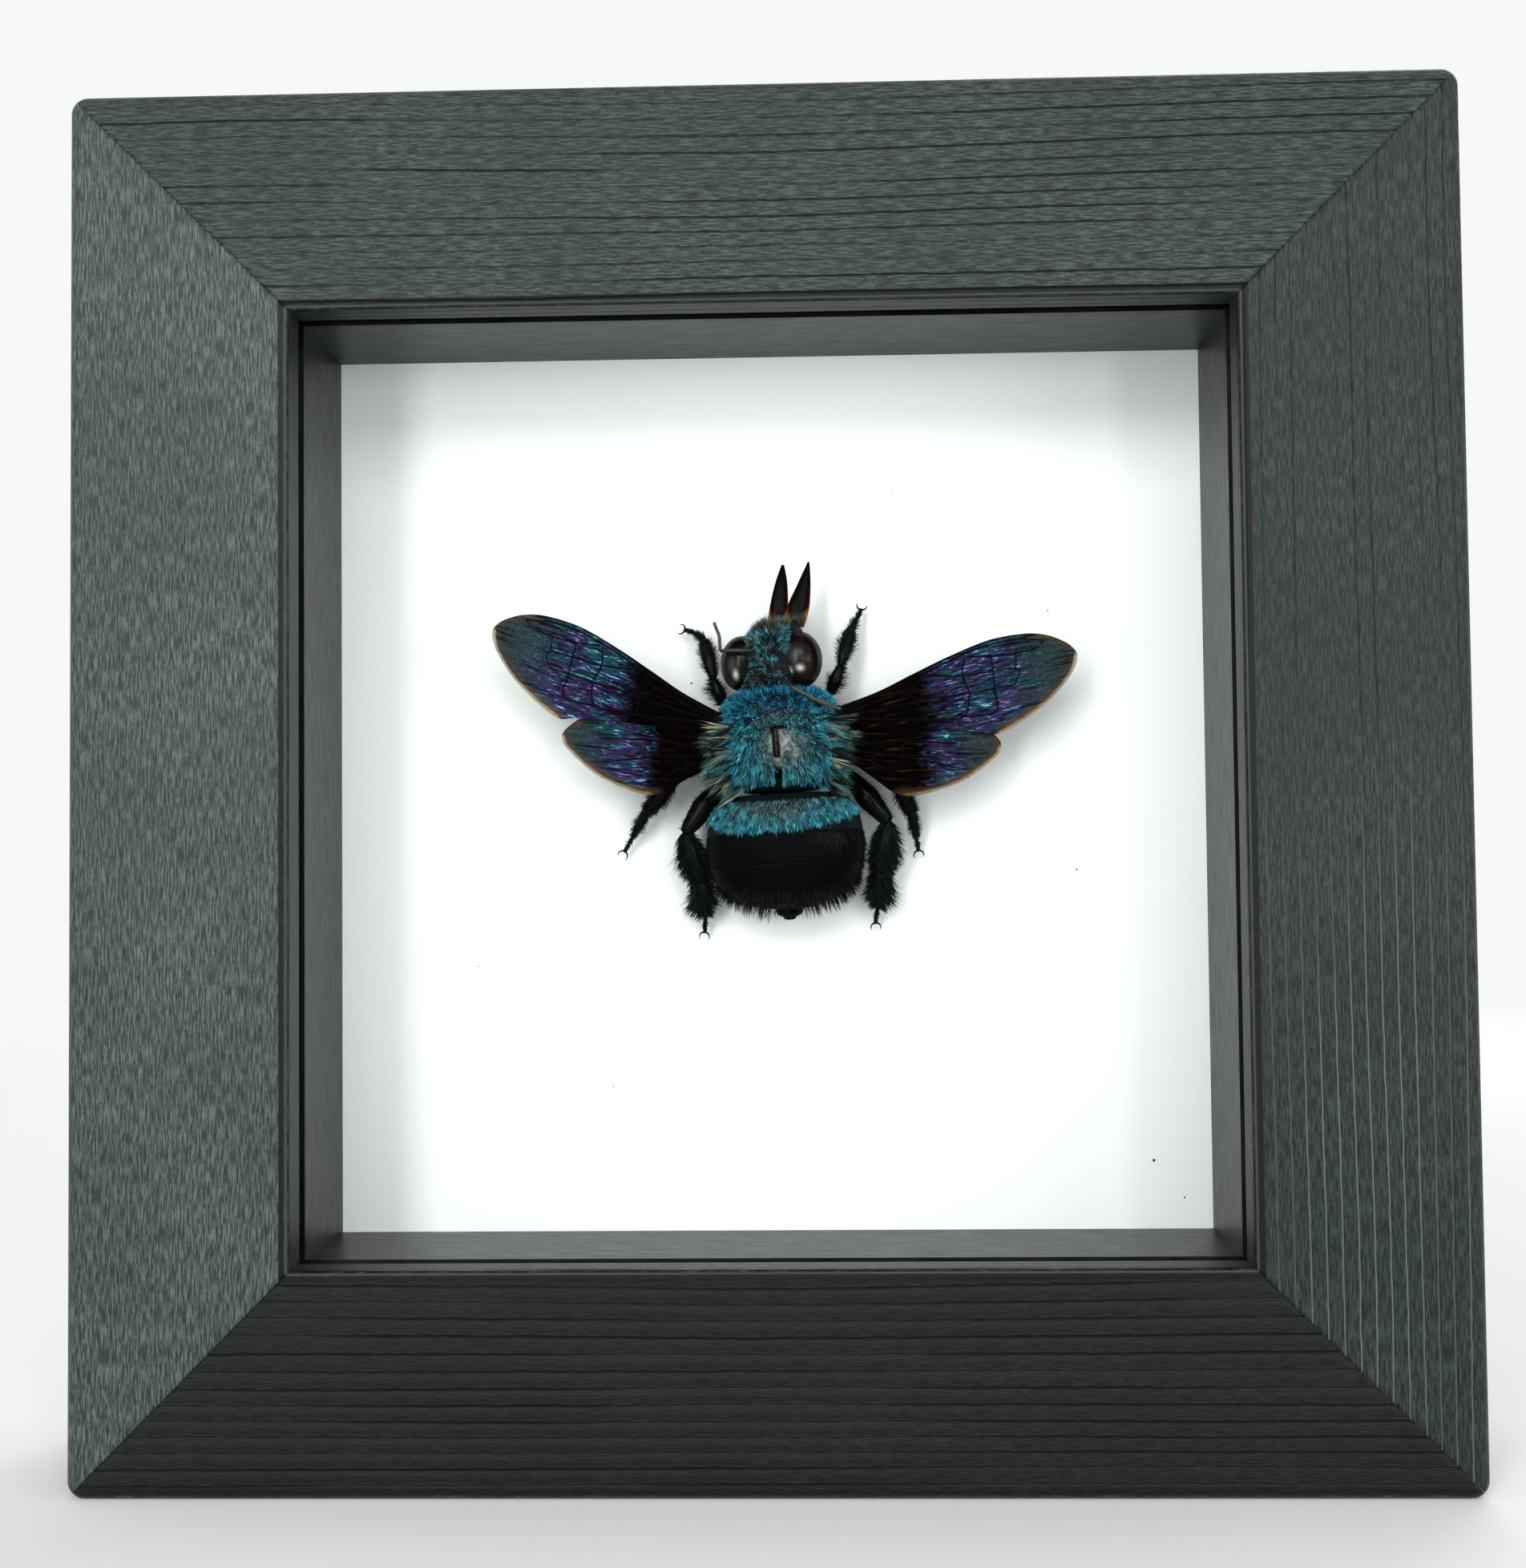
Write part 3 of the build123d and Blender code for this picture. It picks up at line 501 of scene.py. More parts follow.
def rail_profile():
    """Round the section of a rail: distance from the outer edge and depth from the front, in mm."""
    points = []

    def line(a, b, count):
        for t in np.linspace(0, 1, count, endpoint=False):
            points.append((a[0] + (b[0] - a[0]) * t, a[1] + (b[1] - a[1]) * t))

    def corner(middle, radius, start, end, count):
        for turn in np.linspace(start, end, count)[:-1]:
            points.append((middle + radius * cos(turn), radius + radius * sin(turn)))

    depth = full_depth - nail_relief
    rabbet = rail_width - rabbet_width
    line((0, depth - edge_cut), (0, front_round), 14)
    corner(front_round, front_round, pi, 1.5 * pi, 9)
    line((front_round, 0), (rail_width - sight_round, 0), 92)
    corner(rail_width - sight_round, sight_round, 1.5 * pi, 2 * pi, 7)
    line((rail_width, sight_round), (rail_width, lip_depth - lip_cut), 10)
    line((rail_width, lip_depth - lip_cut), (rail_width - lip_cut, lip_depth), 1)
    line((rail_width - lip_cut, lip_depth), (rabbet, lip_depth), 3)
    line((rabbet, lip_depth), (rabbet, depth - chamfer), 4)
    line((rabbet, depth - chamfer), (rabbet - chamfer, depth), 1)
    line((rabbet - chamfer, depth), (edge_cut, depth), 8)
    line((edge_cut, depth), (0, depth - edge_cut), 1)
    return np.array(points)


def add_rail(place, side, across_first, seed, spacing, wander, ridge, open_grain, tone, crests_and_painted_highlights=0.0):
    """One mitred rail with its grain in relief. side is its place, and across_first says it runs left to right."""
    half = (frame_width if across_first else frame_height) / 2
    other = (frame_height if across_first else frame_width) / 2
    steps = np.concatenate([np.linspace(-1, -end_share, 8)[:-1], np.linspace(-end_share, end_share, 118),
                            np.linspace(end_share, 1, 8)[1:]])[:, None]
    u, d = rail_profile().T
    along = steps * (half - u - end_gap)
    across = np.broadcast_to(other - u, along.shape)
    back = d > full_depth - 0.5
    # The back and the sides have rings of their own.
    section = np.broadcast_to(np.where(back, u + 30, np.where(d > 0.9, -d, u)), along.shape)
    slow = noise(along / 55, section / 9, seed) * 0.9 + noise(along / 21, section / 3.2, seed + 1) * 0.22
    rings = section / spacing + slow * wander + first_ring
    front = smooth(0.6, 0.0, d) * smooth(0, 0.7, u) * smooth(rail_width, rail_width - 0.5, u)
    ripple = np.cos((rings - 0.5) * 2 * pi)
    fade = 0.35 + 0.65 * smooth(-0.35, 0.5, noise(along / 34, across / 5, seed + 4))
    # On the right rail the raised rings and the painted highlight on their tops fade out above its lower half
    if place == "right":
        fade = fade * smooth(0.15, -0.35, along / half)
    near_end = smooth(1 - joint_groove_width / half, 1, np.abs(steps))
    depth = d + front * (ridge * (0.5 + 0.5 * ripple) * fade + 0.025 * noise(along / 16, across / 6, seed + 6))
    depth += front * near_end * joint_groove_depth
    # Corners of the front view are rounded where the mitred ends meet.
    a, b = np.abs(along) - (half - corner_radius), np.abs(across) - (other - corner_radius)
    inside = (a > 0) & (b > 0)
    shrink = np.where(inside, np.maximum(a, b) / np.maximum(np.hypot(a, b), 1e-9), 1)
    long_way = np.sign(along) * np.where(inside, half - corner_radius + a * shrink, np.abs(along))
    cross_way = side * np.where(inside, other - corner_radius + b * shrink, np.abs(across))
    x, z = (long_way, cross_way) if across_first else (cross_way, long_way)
    points = vectors(x, front_y + depth, middle_z + z).reshape(-1, 3)
    rows, columns = along.shape
    faces = grid_faces(rows, columns, True)
    if (side > 0) != across_first:
        faces = faces[:, ::-1]
    edge = np.maximum(bell(u, 0.35, 0.35) * (d < 1.4), bell(u, rail_width - 0.12, 0.16) * (d < 0.7))
    open_here = open_grain * (0.25 + 0.75 * smooth(-0.3, 0.45, noise(along / 26, across / 1.7, seed + 9)))
    # tone: painted light and shade for the rail's front; side_tone on its sides and back
    values = {"ring": rings, "along": along * MM, "across": section * MM,
              "edge": np.maximum(edge, near_end * front * 0.9), "open_grain": open_here * np.where(back, 0.5, 1.0),
              # The ridge tops with their painted highlight, on the front only
              "crest_and_painted_highlight": crests_and_painted_highlights * front * fade * smooth(19.8, 18.9, u) * smooth(0.6, 1.6, u),
              "tone": side_tone + (tone - side_tone) * smooth(1.3, 0.3, d) + 0 * along}
    name = "frame_rail_" + place
    new_piece("painted_" + name, points, [faces], rail_paint, "black_wood", (name,),
              {key: value.ravel() for key, value in values.items()}, sharp=38)
    # The mitred ends are closed by faces in the joint.
    ends = bpy.data.meshes.new("mitre_faces_" + name)
    ends.from_pydata((np.vstack([points[:columns], points[-columns:]]) * MM).tolist(), [],
                     [tuple(range(columns)), tuple(range(columns, 2 * columns))])
    ends.materials.append(rail_paint)
    closed = in_scene(ends)
    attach(closed, "case")


bpy.context.scene.view_settings.view_transform = "Standard"
add_camera()
add_world()
add_floor()
add_lamps()
rail_paint = painted_wood()
# Place, side, whether it runs left to right, seed, ring spacing and wander, height of the relief, strength of the
# open grain, the paint's tone as painted light and shade for each side, and the painted highlight on ridge tops
add_rail("top", 1, True, 11, 1.5, 0.36, 0.03, 0.85, 0.47)
add_rail("bottom", -1, True, 23, 1.45, 0.36, 0.05, 0.75, 0.06)
add_rail("left", -1, False, 37, 2.6, 0.5, 0.01, 0.14, 0.78)
add_rail("right", 1, False, 53, 1.42, 0.40, 0.10, 0.35, 0.29, 0.9)

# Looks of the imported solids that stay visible, by the start of their names
steel_look = metal("zinc_plate", (0.40, 0.41, 0.42), 0.30, (700, 700, 160))
nail_look = metal("nail_steel", (0.34, 0.335, 0.32), 0.36)
plain_looks = {
    # Painted light and shade: the top spacer gets a lighter copy of the paint, the other spacers a darker one
    "spacer": spacer_paint("spacer_paint", 0.5), "spacer_top": spacer_paint("painted_lit_spacer_paint", 1.15),
    "mount_board": white_board(), "backing_panel": hardboard(), "glazing_pane": pane_glass(),
    "turn_button": steel_look, "sawtooth": steel_look, "hanger": nail_look, "corner": nail_look,
    "adhesive": Look("dried_glue", Base_Color=(0.75, 0.68, 0.5), Roughness=0.25, Subsurface_Weight=0.3).material,
}
for name, look in plain_looks.items():
    for node in nodes:
        if node.startswith(name):
            for slot in nodes[node].material_slots:
                slot.material = look


# Hair

rng = np.random.RandomState(7)
hair_taper, root_shade, shade_rise, tip_shade = 0.6, 0.22, 0.95, 1.25


def strands(name, roots, starts, ends, lengths, radii, colours, material, steps=3, slot="blue_haired_cuticle"):
    """One piece of many tapering hairs. Each leaves its root along starts and bends towards ends."""
    count = len(roots)
    starts, ends = unit(starts), unit(ends)
    lengths, radii = np.broadcast_to(lengths, count), np.broadcast_to(radii, count)
    t = np.linspace(0, 1, steps + 1)
    bend = (ends - starts)[:, None] * (t ** 2 / 2)[None, :, None]
    line = roots[:, None] + lengths[:, None, None] * (starts[:, None] * t[None, :, None] + bend)
    side = unit(np.cross(starts, rng.normal(size=(count, 3))))
    over = np.cross(starts, side)
    turn = np.array([0, 2, 4]) * pi / 3
    ring = side[:, None] * np.cos(turn)[None, :, None] + over[:, None] * np.sin(turn)[None, :, None]
    width = radii[:, None] * (1 - hair_taper * t[:-1])
    body = line[:, :-1, None] + ring[:, None] * width[:, :, None, None]
    points = np.concatenate([body.reshape(count, steps * 3, 3), line[:, -1:]], 1)
    each = steps * 3 + 1
    base = np.arange(count)[:, None] * each
    quads, tips = [], []
    for j in range(3):
        k = (j + 1) % 3
        for i in range(steps - 1):
            quads.append(base + np.array([i * 3 + j, i * 3 + k, i * 3 + 3 + k, i * 3 + 3 + j]))
        tips.append(base + np.array([steps * 3 - 3 + j, steps * 3 - 3 + k, steps * 3]))
    # Painted shade: each hair darker towards its root, deep in the coat, and lighter at its tip
    shade = np.append(np.repeat(root_shade + shade_rise * t[:-1], 3), tip_shade)
    tint = np.asarray(colours)[:, None, :] * shade[None, :, None]
    bee_piece(name, (points.reshape(-1, 3), [np.vstack(quads), np.vstack(tips)]), material, slot,
              values={"tint": tint.reshape(-1, 3)})


def clumped(roots, ends, lengths, count, pull):
    """End directions drawn together into tufts."""
    middle = roots[rng.choice(len(roots), count, replace=False)]
    nearest = np.concatenate([np.argmin(((part[:, None] - middle[None]) ** 2).sum(-1), 1)
                              for part in np.array_split(roots, max(1, len(roots) // 400))])
    return unit(ends) + (middle[nearest] - roots) / np.broadcast_to(lengths, (len(roots),))[:, None] * pull


def blended(amount, a, b):
    return np.asarray(a) * (1 - amount[:, None]) + np.asarray(b) * amount[:, None]


turquoise, azure, pale = (0.030, 0.280, 0.350), (0.010, 0.165, 0.340), (0.220, 0.580, 0.600)
brown = (0.120, 0.100, 0.070)


def mottled(roots, light=0.2, dull=0.1, seed=3):
    """Turquoise hair colours with lighter, deeper and dull tufts, placed by noise and by chance."""
    count = len(roots)
    x, y, _ = roots.T
    field = noise(x * 1.5, y * 1.5, seed) + 0.5 * noise(x * 4, y * 4, seed + 1)
    colours = blended(smooth(-0.2, 0.9, field + rng.normal(0, 0.35, count)) * 0.75, turquoise, azure)
    colours = blended((rng.rand(count) < light) * rng.rand(count), colours, pale)
    colours = blended((rng.rand(count) < dull) * 0.85, colours, brown)
    tuft = noise(x * 4.2, y * 3.0, seed + 2) + 0.8 * noise(x * 9, y * 6, seed + 5)
    return colours * (np.clip(1.05 + 1.15 * tuft, 0.10, 2.6) * rng.uniform(0.6, 1.35, count))[:, None]


# Body forms

class Form:
    """A rounded form of the body, from sections of (y, half width, x, height)."""

    def __init__(self, sections, flatness):
        line = curve_through(sorted(sections), 300)
        self.y, self.wide, self.x, self.high = line.T
        self.flatness = flatness

    def at(self, y, angle):
        """Points on the form's skin."""
        wide, x, high = (np.interp(y, self.y, along) for along in (self.wide, self.x, self.high))
        return vectors(x + wide * np.cos(angle), y, high + wide * self.flatness * np.sin(angle))

    def normal(self, y, angle):
        step = 0.02
        along = self.at(y + step, angle) - self.at(y - step, angle)
        around = self.at(y, angle + step) - self.at(y, angle - step)
        return unit(np.cross(along, around))

    def shell(self, start, end, relief=None, rows=40, columns=72, round_start=0.3, round_end=0.3):
        """Points and faces of the form from one y to another, with both ends rounded shut."""
        y = np.linspace(start, end, rows)
        turn = np.arange(columns) * 2 * pi / columns
        yy, aa = np.meshgrid(y, turn, indexing="ij")
        points = self.at(yy, aa)
        if relief is not None:
            points = points + self.normal(yy, aa) * relief(*np.moveaxis(points, -1, 0))[..., None]
        way = np.sign(end - start)

        def rounded(ring, rounding):
            middle = ring.mean(0)
            return [middle + (ring - middle) * (1 - f ** 2 * 0.9) + (0, rounding * np.sin(f * pi / 2), 0)
                    for f in (0.35, 0.65, 0.88, 0.99)]

        rings = [*rounded(points[0], -way * round_start)[::-1], *points, *rounded(points[-1], way * round_end)]
        last = len(rings) * columns
        faces = [grid_faces(len(rings), columns, True), fan_faces(np.arange(columns)[::-1], last),
                 fan_faces(np.arange(last - columns, last), last + 1)]
        if way > 0:
            faces = [f[:, ::-1] for f in faces]
        return np.vstack([*rings, rings[0].mean(0), rings[-1].mean(0)]), faces

    def scatter(self, start, end, low, high, count):
        """Random hair roots on the form between two ys and two angles in degrees, with their normals."""
        y = rng.uniform(start, end, count * 2)
        angle = np.radians(rng.uniform(low, high, count * 2))
        keep = rng.rand(count * 2) < np.interp(y, self.y, self.wide) / self.wide.max()
        y, angle = y[keep][:count], angle[keep][:count]
        return self.at(y, angle), self.normal(y, angle)


thorax = Form([(y, w, 0, 6.2) for y, w in ((4.8, 3.2), (4.4, 4.2), (3.5, 5.1), (2.0, 5.65), (-0.3, 5.9), (-2.4, 5.7),
                                           (-3.9, 5.0), (-4.8, 3.8))], 0.865)
abdomen = Form([(y, w, 0, h) for y, w, h in ((-5.1, 4.8, 6.0), (-5.9, 6.2, 5.9), (-7.2, 7.2, 5.8), (-8.9, 7.6, 5.8),
                                             (-10.4, 7.7, 5.7), (-11.9, 7.5, 5.6), (-13.2, 7.1, 5.4),
                                             (-14.4, 6.35, 5.2), (-15.5, 4.4, 4.9), (-16.3, 2.1, 4.7),
                                             (-16.6, 1.3, 4.7))], 0.66)
head = Form([(4.8, 2.5, -0.3, 6.2), (5.9, 3.3, -0.3, 6.3), (7.6, 3.5, -0.25, 6.3), (9.4, 3.0, 0.0, 6.2),
             (10.9, 2.15, 0.55, 5.8), (11.6, 1.5, 0.9, 5.4)], 0.95)
waist = Form([(-5.4, 1.3, 0, 6.1), (-4.5, 1.3, 0, 6.2), (-4.0, 1.4, 0, 6.2)], 0.8)
tail = Form([(-15.9, 1.5, 0, 4.7), (-16.4, 1.35, 0, 4.7), (-16.8, 1.15, 0, 4.7), (-17.1, 0.55, 0, 4.7)], 0.8)


def cuticle(name, colour, rough, **shader):
    """Hard insect skin with fine pits."""
    look = Look(name, **{"Specular_IOR_Level": 0.16, **shader})
    where = look.place()
    fine = look.noise(where, 2400, 3, 0.6)
    cloud = look.noise(where, 260, 3)
    tone = look.ramp(cloud, (0.3, colour), (0.75, tuple(1.8 * c + 0.0004 for c in colour)))
    return look.finish(tone, look.span(cloud, 0.3, 0.75, rough - 0.07, rough + 0.1), fine, 0.3, 0.00004)


def hair(name, rough, shine):
    """Hair in the colours of each strand."""
    look = Look(name, Roughness=rough, Specular_IOR_Level=shine)
    patch = look.span(look.noise(look.place(), 900, 2), 0.2, 0.8, 0, 0.25)
    return look.set(Base_Color=look.mix(patch, look.colour("tint"), (0.002, 0.004, 0.005)))


shell_look = cuticle("black_cuticle", (0.0012, 0.0012, 0.0015), 0.40, Specular_IOR_Level=0.018)
under_look = cuticle("cuticle_under_hair", (0.0022, 0.0048, 0.0056), 0.42, Specular_IOR_Level=0.05)
leg_look = cuticle("leg_cuticle", (0.0016, 0.0018, 0.0020), 0.22, Specular_IOR_Level=0.06)
hair_look = hair("body_hair", 0.5, 0.16)
brush_look = hair("black_hair", 0.45, 0.04)


def bare_patch(x, y, h):
    """How bare the top of the thorax is, on each side of its midline."""
    spot = np.exp(-(((x - 0.6) / 2.9) ** 2 + ((y + 0.8) / 2.0) ** 2) * 1.2) * smooth(9.3, 10.4, h)
    return np.clip(spot * (0.95 + 0.7 * noise(x * 1.4, y * 1.4, 4)), 0, 1)


def midline_slot(x, y):
    """The dark slot along the midline, with a short bar across its front end."""
    slot = np.exp(-((x + 0.3 + 0.03 * y) / 0.34) ** 4) * smooth(-4.3, -3.9, y) * smooth(1.2, 0.9, y)
    slot = slot * smooth(0.3, 0.65, np.abs(y + 2.3))
    return np.maximum(slot, bell(y, 1.05, 0.18) * smooth(0.95, 0.7, np.abs(x - 0.35)))


def back_relief(x, y, h):
    """The thorax's midline slot and the low pads beside it."""
    pads = blob(np.abs(x + 0.3), y, (1.1, -0.6), (0.7, 1.3))
    return smooth(8.5, 10.2, h) * (0.14 * pads - 0.6 * midline_slot(x, y)) + 0.03 * noise(x * 2.5, y * 2.5, 5)


def head_relief(x, y, h):
    """A groove along the middle of the rear of the head, and a slightly uneven skin."""
    groove = bell(x, -0.2, 0.25) * smooth(9, 10, h) * smooth(9.5, 8.5, y)
    return 0.07 * noise(x * 1.7, y * 1.7, 15) - 0.25 * groove


def ring_relief(front, rear):
    """A body ring that starts under the one before it and ends in a rounded lip."""
    def relief(x, y, h):
        lip = 0.02 * bell(y, rear + 0.22, 0.13) - 0.16 * smooth(rear + 0.12, rear - 0.02, y)
        return lip - 0.12 * smooth(front - 0.12, front + 0.12, y) + 0.01 * noise(x * 1.2, y * 1.2, 8)
    return relief


def bare_thorax():
    """Dark skin under the hair, silvery grey where the hair is worn off, and black in the slot."""
    look = Look("bare_thorax", Specular_IOR_Level=0.25)
    fine = look.noise(look.place(), 2600, 4, 0.65)
    grey = look.ramp(fine, (0.32, (0.045, 0.060, 0.058)), (0.50, (0.130, 0.145, 0.138)), (0.70, (0.30, 0.31, 0.29)))
    tone = look.layers((0.0022, 0.0048, 0.0056), (look.span(look.value("bare"), 0.2, 0.6), grey),
                       (look.value("slot"), (0.0008, 0.0008, 0.0008)))
    return look.finish(tone, look.span(fine, 0.3, 0.7, 0.18, 0.45), fine, 0.5, 0.00006)


def add_form(name, form, start, end, look, slot, relief=None, **more):
    bee_piece(name + "_surface", form.shell(start, end, relief, **more), look, slot, name)


skin, shell = (under_look, "blue_haired_cuticle"), (shell_look, "black_cuticle")
points, faces = thorax.shell(3.9, -3.9, back_relief, rows=120, columns=200, round_start=0.02, round_end=0.02)
x, y, h = points.T
bee_piece("thorax_surface", (points, faces), bare_thorax(), "blue_haired_cuticle", "thorax",
          values={"bare": bare_patch(x, y, 11.0), "slot": smooth(0.25, 0.7, midline_slot(x, y)) * (h > 9)})
add_form("pronotum", thorax, 4.8, 3.92, *skin, rows=12)
add_form("propodeum", thorax, -3.92, -4.8, *skin, rows=12, round_end=0.2)
add_form("petiole", waist, -4.7, -5.2, *shell, rows=8, round_start=0.1, round_end=0.1)
add_form("abdomen_segment_1", abdomen, -5.1, -8.9, *skin, ring_relief(-5.1, -8.9), rows=34, columns=96,
         round_start=0.05, round_end=0.12)
for i, (front, rear) in enumerate(((-8.9, -11.9), (-11.9, -14.4), (-14.4, -15.5), (-15.5, -16.3)), 2):
    add_form(f"abdomen_segment_{i}", abdomen, front + 0.25, rear, *shell, ring_relief(front, rear), rows=34,
             columns=96, round_start=0.05, round_end=0.12)
add_form("abdomen_segment_6", tail, -16.1, -17.05, *shell, rows=14, columns=40)
add_form("head", head, 4.8, 11.6, *skin, head_relief, rows=50, columns=72)


# Eyes

def eye_material():
    """Black faceted eye, with pale highlights painted into its colour."""
    look = Look("compound_eye", Specular_IOR_Level=0.05, Coat_Weight=0.12, Coat_Roughness=0.22)
    where = look.place()
    facets = look.add("TexVoronoi", {"Vector": where, "Scale": 15000.0}, feature="F1").outputs["Distance"]
    cloud = look.noise(where, 520, 3, 0.6, 0.4)
    tone = look.ramp(cloud, (0.40, (0.0022, 0.0012, 0.0012)), (0.60, (0.0065, 0.0032, 0.0030)),
                     (0.85, (0.016, 0.010, 0.009)))
    # Painted highlights: soft pale patches mixed into the eye's colour
    tone = look.mix(look.value("painted_highlight"), tone, (0.60, 0.57, 0.52))
    return look.finish(tone, look.span(cloud, 0.3, 0.8, 0.16, 0.3), facets, 0.25, 0.000008)


eye_look = eye_material()
eye_middle, eye_length, eye_width, eye_bulge = 7.7, 5.5, 4.4, 2.15
# Side, distance from the midline, height, tilt in degrees, and painted pale highlights as place, size and strength
eyes = {"left": (-1, 3.2, 6.2, 12, (((-3.85, 6.55), (0.22, 0.36), 0.85), ((-4.25, 7.5), (0.4, 0.8), 0.05))),
        "right": (1, 2.4, 7.4, 35, (((1.45, 6.55), (0.17, 0.22), 0.75), ((2.4, 6.75), (0.32, 0.24), 0.90),
                                    ((2.0, 8.0), (0.6, 0.7), 0.06)))}
for side_name, (side, out, high, tilt, painted_highlights) in eyes.items():
    normal = np.array([side * cos(radians(tilt)), 0, sin(radians(tilt))])
    across = np.array([-side * sin(radians(tilt)), 0, cos(radians(tilt))])
    rise = np.linspace(0, 1, 22)[:, None, None]
    size = np.sqrt(np.maximum(0, 1 - rise ** 2))
    turn = (np.arange(56) * 2 * pi / 56)[None, :, None]
    rings = (np.array([side * out, eye_middle, high]) + normal * (rise * eye_bulge)
             + across * (np.cos(turn) * size * eye_width / 2)
             + np.array([0, 1.0, 0]) * (np.sin(turn) * size * eye_length / 2))
    points = np.vstack([(rings[0] - normal * 0.5)[None], rings]).reshape(-1, 3)
    # Painted highlights: soft pale patches placed on the eye's surface
    painted_highlight = sum(most * blob(points[:, 0], points[:, 1], middle, wide) for middle, wide, most in painted_highlights)
    bee_piece(f"eye_{side_name}", (points, [grid_faces(23, 56, True)[:, ::-side]]), eye_look, "eye_cuticle",
              f"compound_eye_{side_name}", values={"painted_highlight": painted_highlight})

bead_look = cuticle("simple_eye", (0.05, 0.03, 0.02), 0.12, Coat_Weight=0.8)
beads = [tube([(x, y, h + rise) for rise in (-0.15, 0, 0.13, 0.2)], (0.24, 0.24, 0.17, 0.05), 16, up=(0, 1, 0))
         for x, y, h in ((-0.25, 7.15, 9.62), (-0.95, 6.5, 9.45), (0.4, 6.45, 9.5))]
bee_piece("simple_eyes", joined(beads), bead_look, "eye_cuticle")


# Mouthparts

def blade_material():
    """A dark horny blade that turns amber at its base and reddish at its edges."""
    look = Look("mouthpart_horn", Specular_IOR_Level=0.02, Coat_Weight=0.01, Coat_Roughness=0.08)
    cloud = look.noise(look.place(), 900, 3)
    base = look.span(look.plus(look.value("base"), look.times(cloud, 0.3)), 0.40, 1.20)
    tone = look.layers((0.0016, 0.0010, 0.0012), (base, (0.55, 0.17, 0.012)),
                       (look.times(look.value("rim"), 0.8), (0.12, 0.014, 0.005)))
    return look.finish(tone, look.span(cloud, 0.3, 0.7, 0.16, 0.3), cloud, 0.2, 0.00003)


blade_look = blade_material()
# Sections of (y, half width, half thickness, x, height)
blades = {"left": ((11.2, 0.8, 0.3, 0.35, 5.3), (13.2, 0.75, 0.3, 0.6, 5.0), (15.6, 0.5, 0.2, 0.95, 4.6),
                   (17.45, 0.12, 0.08, 1.2, 4.2)),
          "right": ((11.1, 0.78, 0.3, 2.0, 5.3), (13.0, 0.92, 0.3, 2.45, 5.0), (15.4, 0.54, 0.2, 3.18, 4.6),
                    (17.6, 0.08, 0.06, 3.75, 4.2))}
for side_name, sections in blades.items():
    rows, columns = 40, 20
    last = rows * columns
    y, wide, thick, x, high = curve_through(sections, rows).T[..., None]
    turn = np.arange(columns) * 2 * pi / columns
    ridge = np.abs(np.cos(turn)) ** 0.8 * np.sign(np.cos(turn))
    lift = np.sign(np.sin(turn)) * np.abs(np.sin(turn)) ** 1.4
    points = vectors(x + 1.22 * wide * ridge, y, high + thick * lift)
    rim = np.broadcast_to(bell(np.abs(ridge), 1, 0.09), points.shape[:2])
    base = smooth(14.3, 11.6, y) * (0.12 + 0.88 * np.abs(ridge) ** 2.2)
    body = np.vstack([points.reshape(-1, 3), points[0].mean(0), points[-1].mean(0)])
    faces = [grid_faces(rows, columns, True)[:, ::-1], fan_faces(np.arange(columns), last),
             fan_faces(np.arange(last - columns, last)[::-1], last + 1)]
    bee_piece(f"galea_blade_{side_name}", (body, faces), blade_look, "mouthpart_cuticle", f"galea_{side_name}",
              values={"rim": np.append(rim, [0, 1]), "base": np.append(base, [1, 0])})


# Antennae

def antenna_material():
    """Fuzzy tan, and black on the scape."""
    look = Look("antenna_shell", Specular_IOR_Level=0.4)
    fuzz = look.noise(look.place(), 5000, 3)
    tan = look.ramp(fuzz, (0.3, (0.022, 0.017, 0.010)), (0.75, (0.066, 0.050, 0.030)))
    tone = look.mix(look.value("scape"), tan, (0.006, 0.005, 0.005))
    return look.finish(tone, look.span(fuzz, 0.2, 0.8, 0.32, 0.55), fuzz, 0.4, 0.00002)


antenna_look = antenna_material()
segments = 11
antennae = {"left": ((-2.1, 8.7, 9.0), (-5.2, 8.9, 8.4), (-5.25, 10.4, 8.0), (-5.7, 11.8, 7.7)),
            "right": ((0.2, 6.0, 9.3), (1.6, 4.8, 10.8), (3.9, 3.4, 10.6), (6.1, 2.45, 10.3))}
for side_name, places in antennae.items():
    base, elbow, bend, tip = np.array(places)
    scape = np.linspace(base, elbow, 14)
    scape[:, 2] += 0.12 * np.sin(np.linspace(0, pi, 14))
    first = tube(scape, 0.13 + 0.05 * np.sin(np.linspace(0.3, 2.6, 14)), 12)
    line = curve_through([elbow, elbow * 0.5 + bend * 0.5, bend, bend * 0.45 + tip * 0.55, tip], 101)
    joint = (np.arange(101) / 100 * segments) % 1
    radius = 0.13 + 0.04 * np.clip(np.sin(joint * pi), 0, 1) ** 0.4
    radius[-4:] *= (0.95, 0.85, 0.65, 0.4)
    radius[:3] *= (0.7, 0.85, 1)
    second = tube(line, radius, 12)
    dark = np.repeat([1, 0], [len(first[0]), len(second[0])])
    bee_piece(f"feeler_{side_name}", joined([first, second]), antenna_look, "antenna_cuticle",
              f"antenna_{side_name}", values={"scape": dark})


# Wings

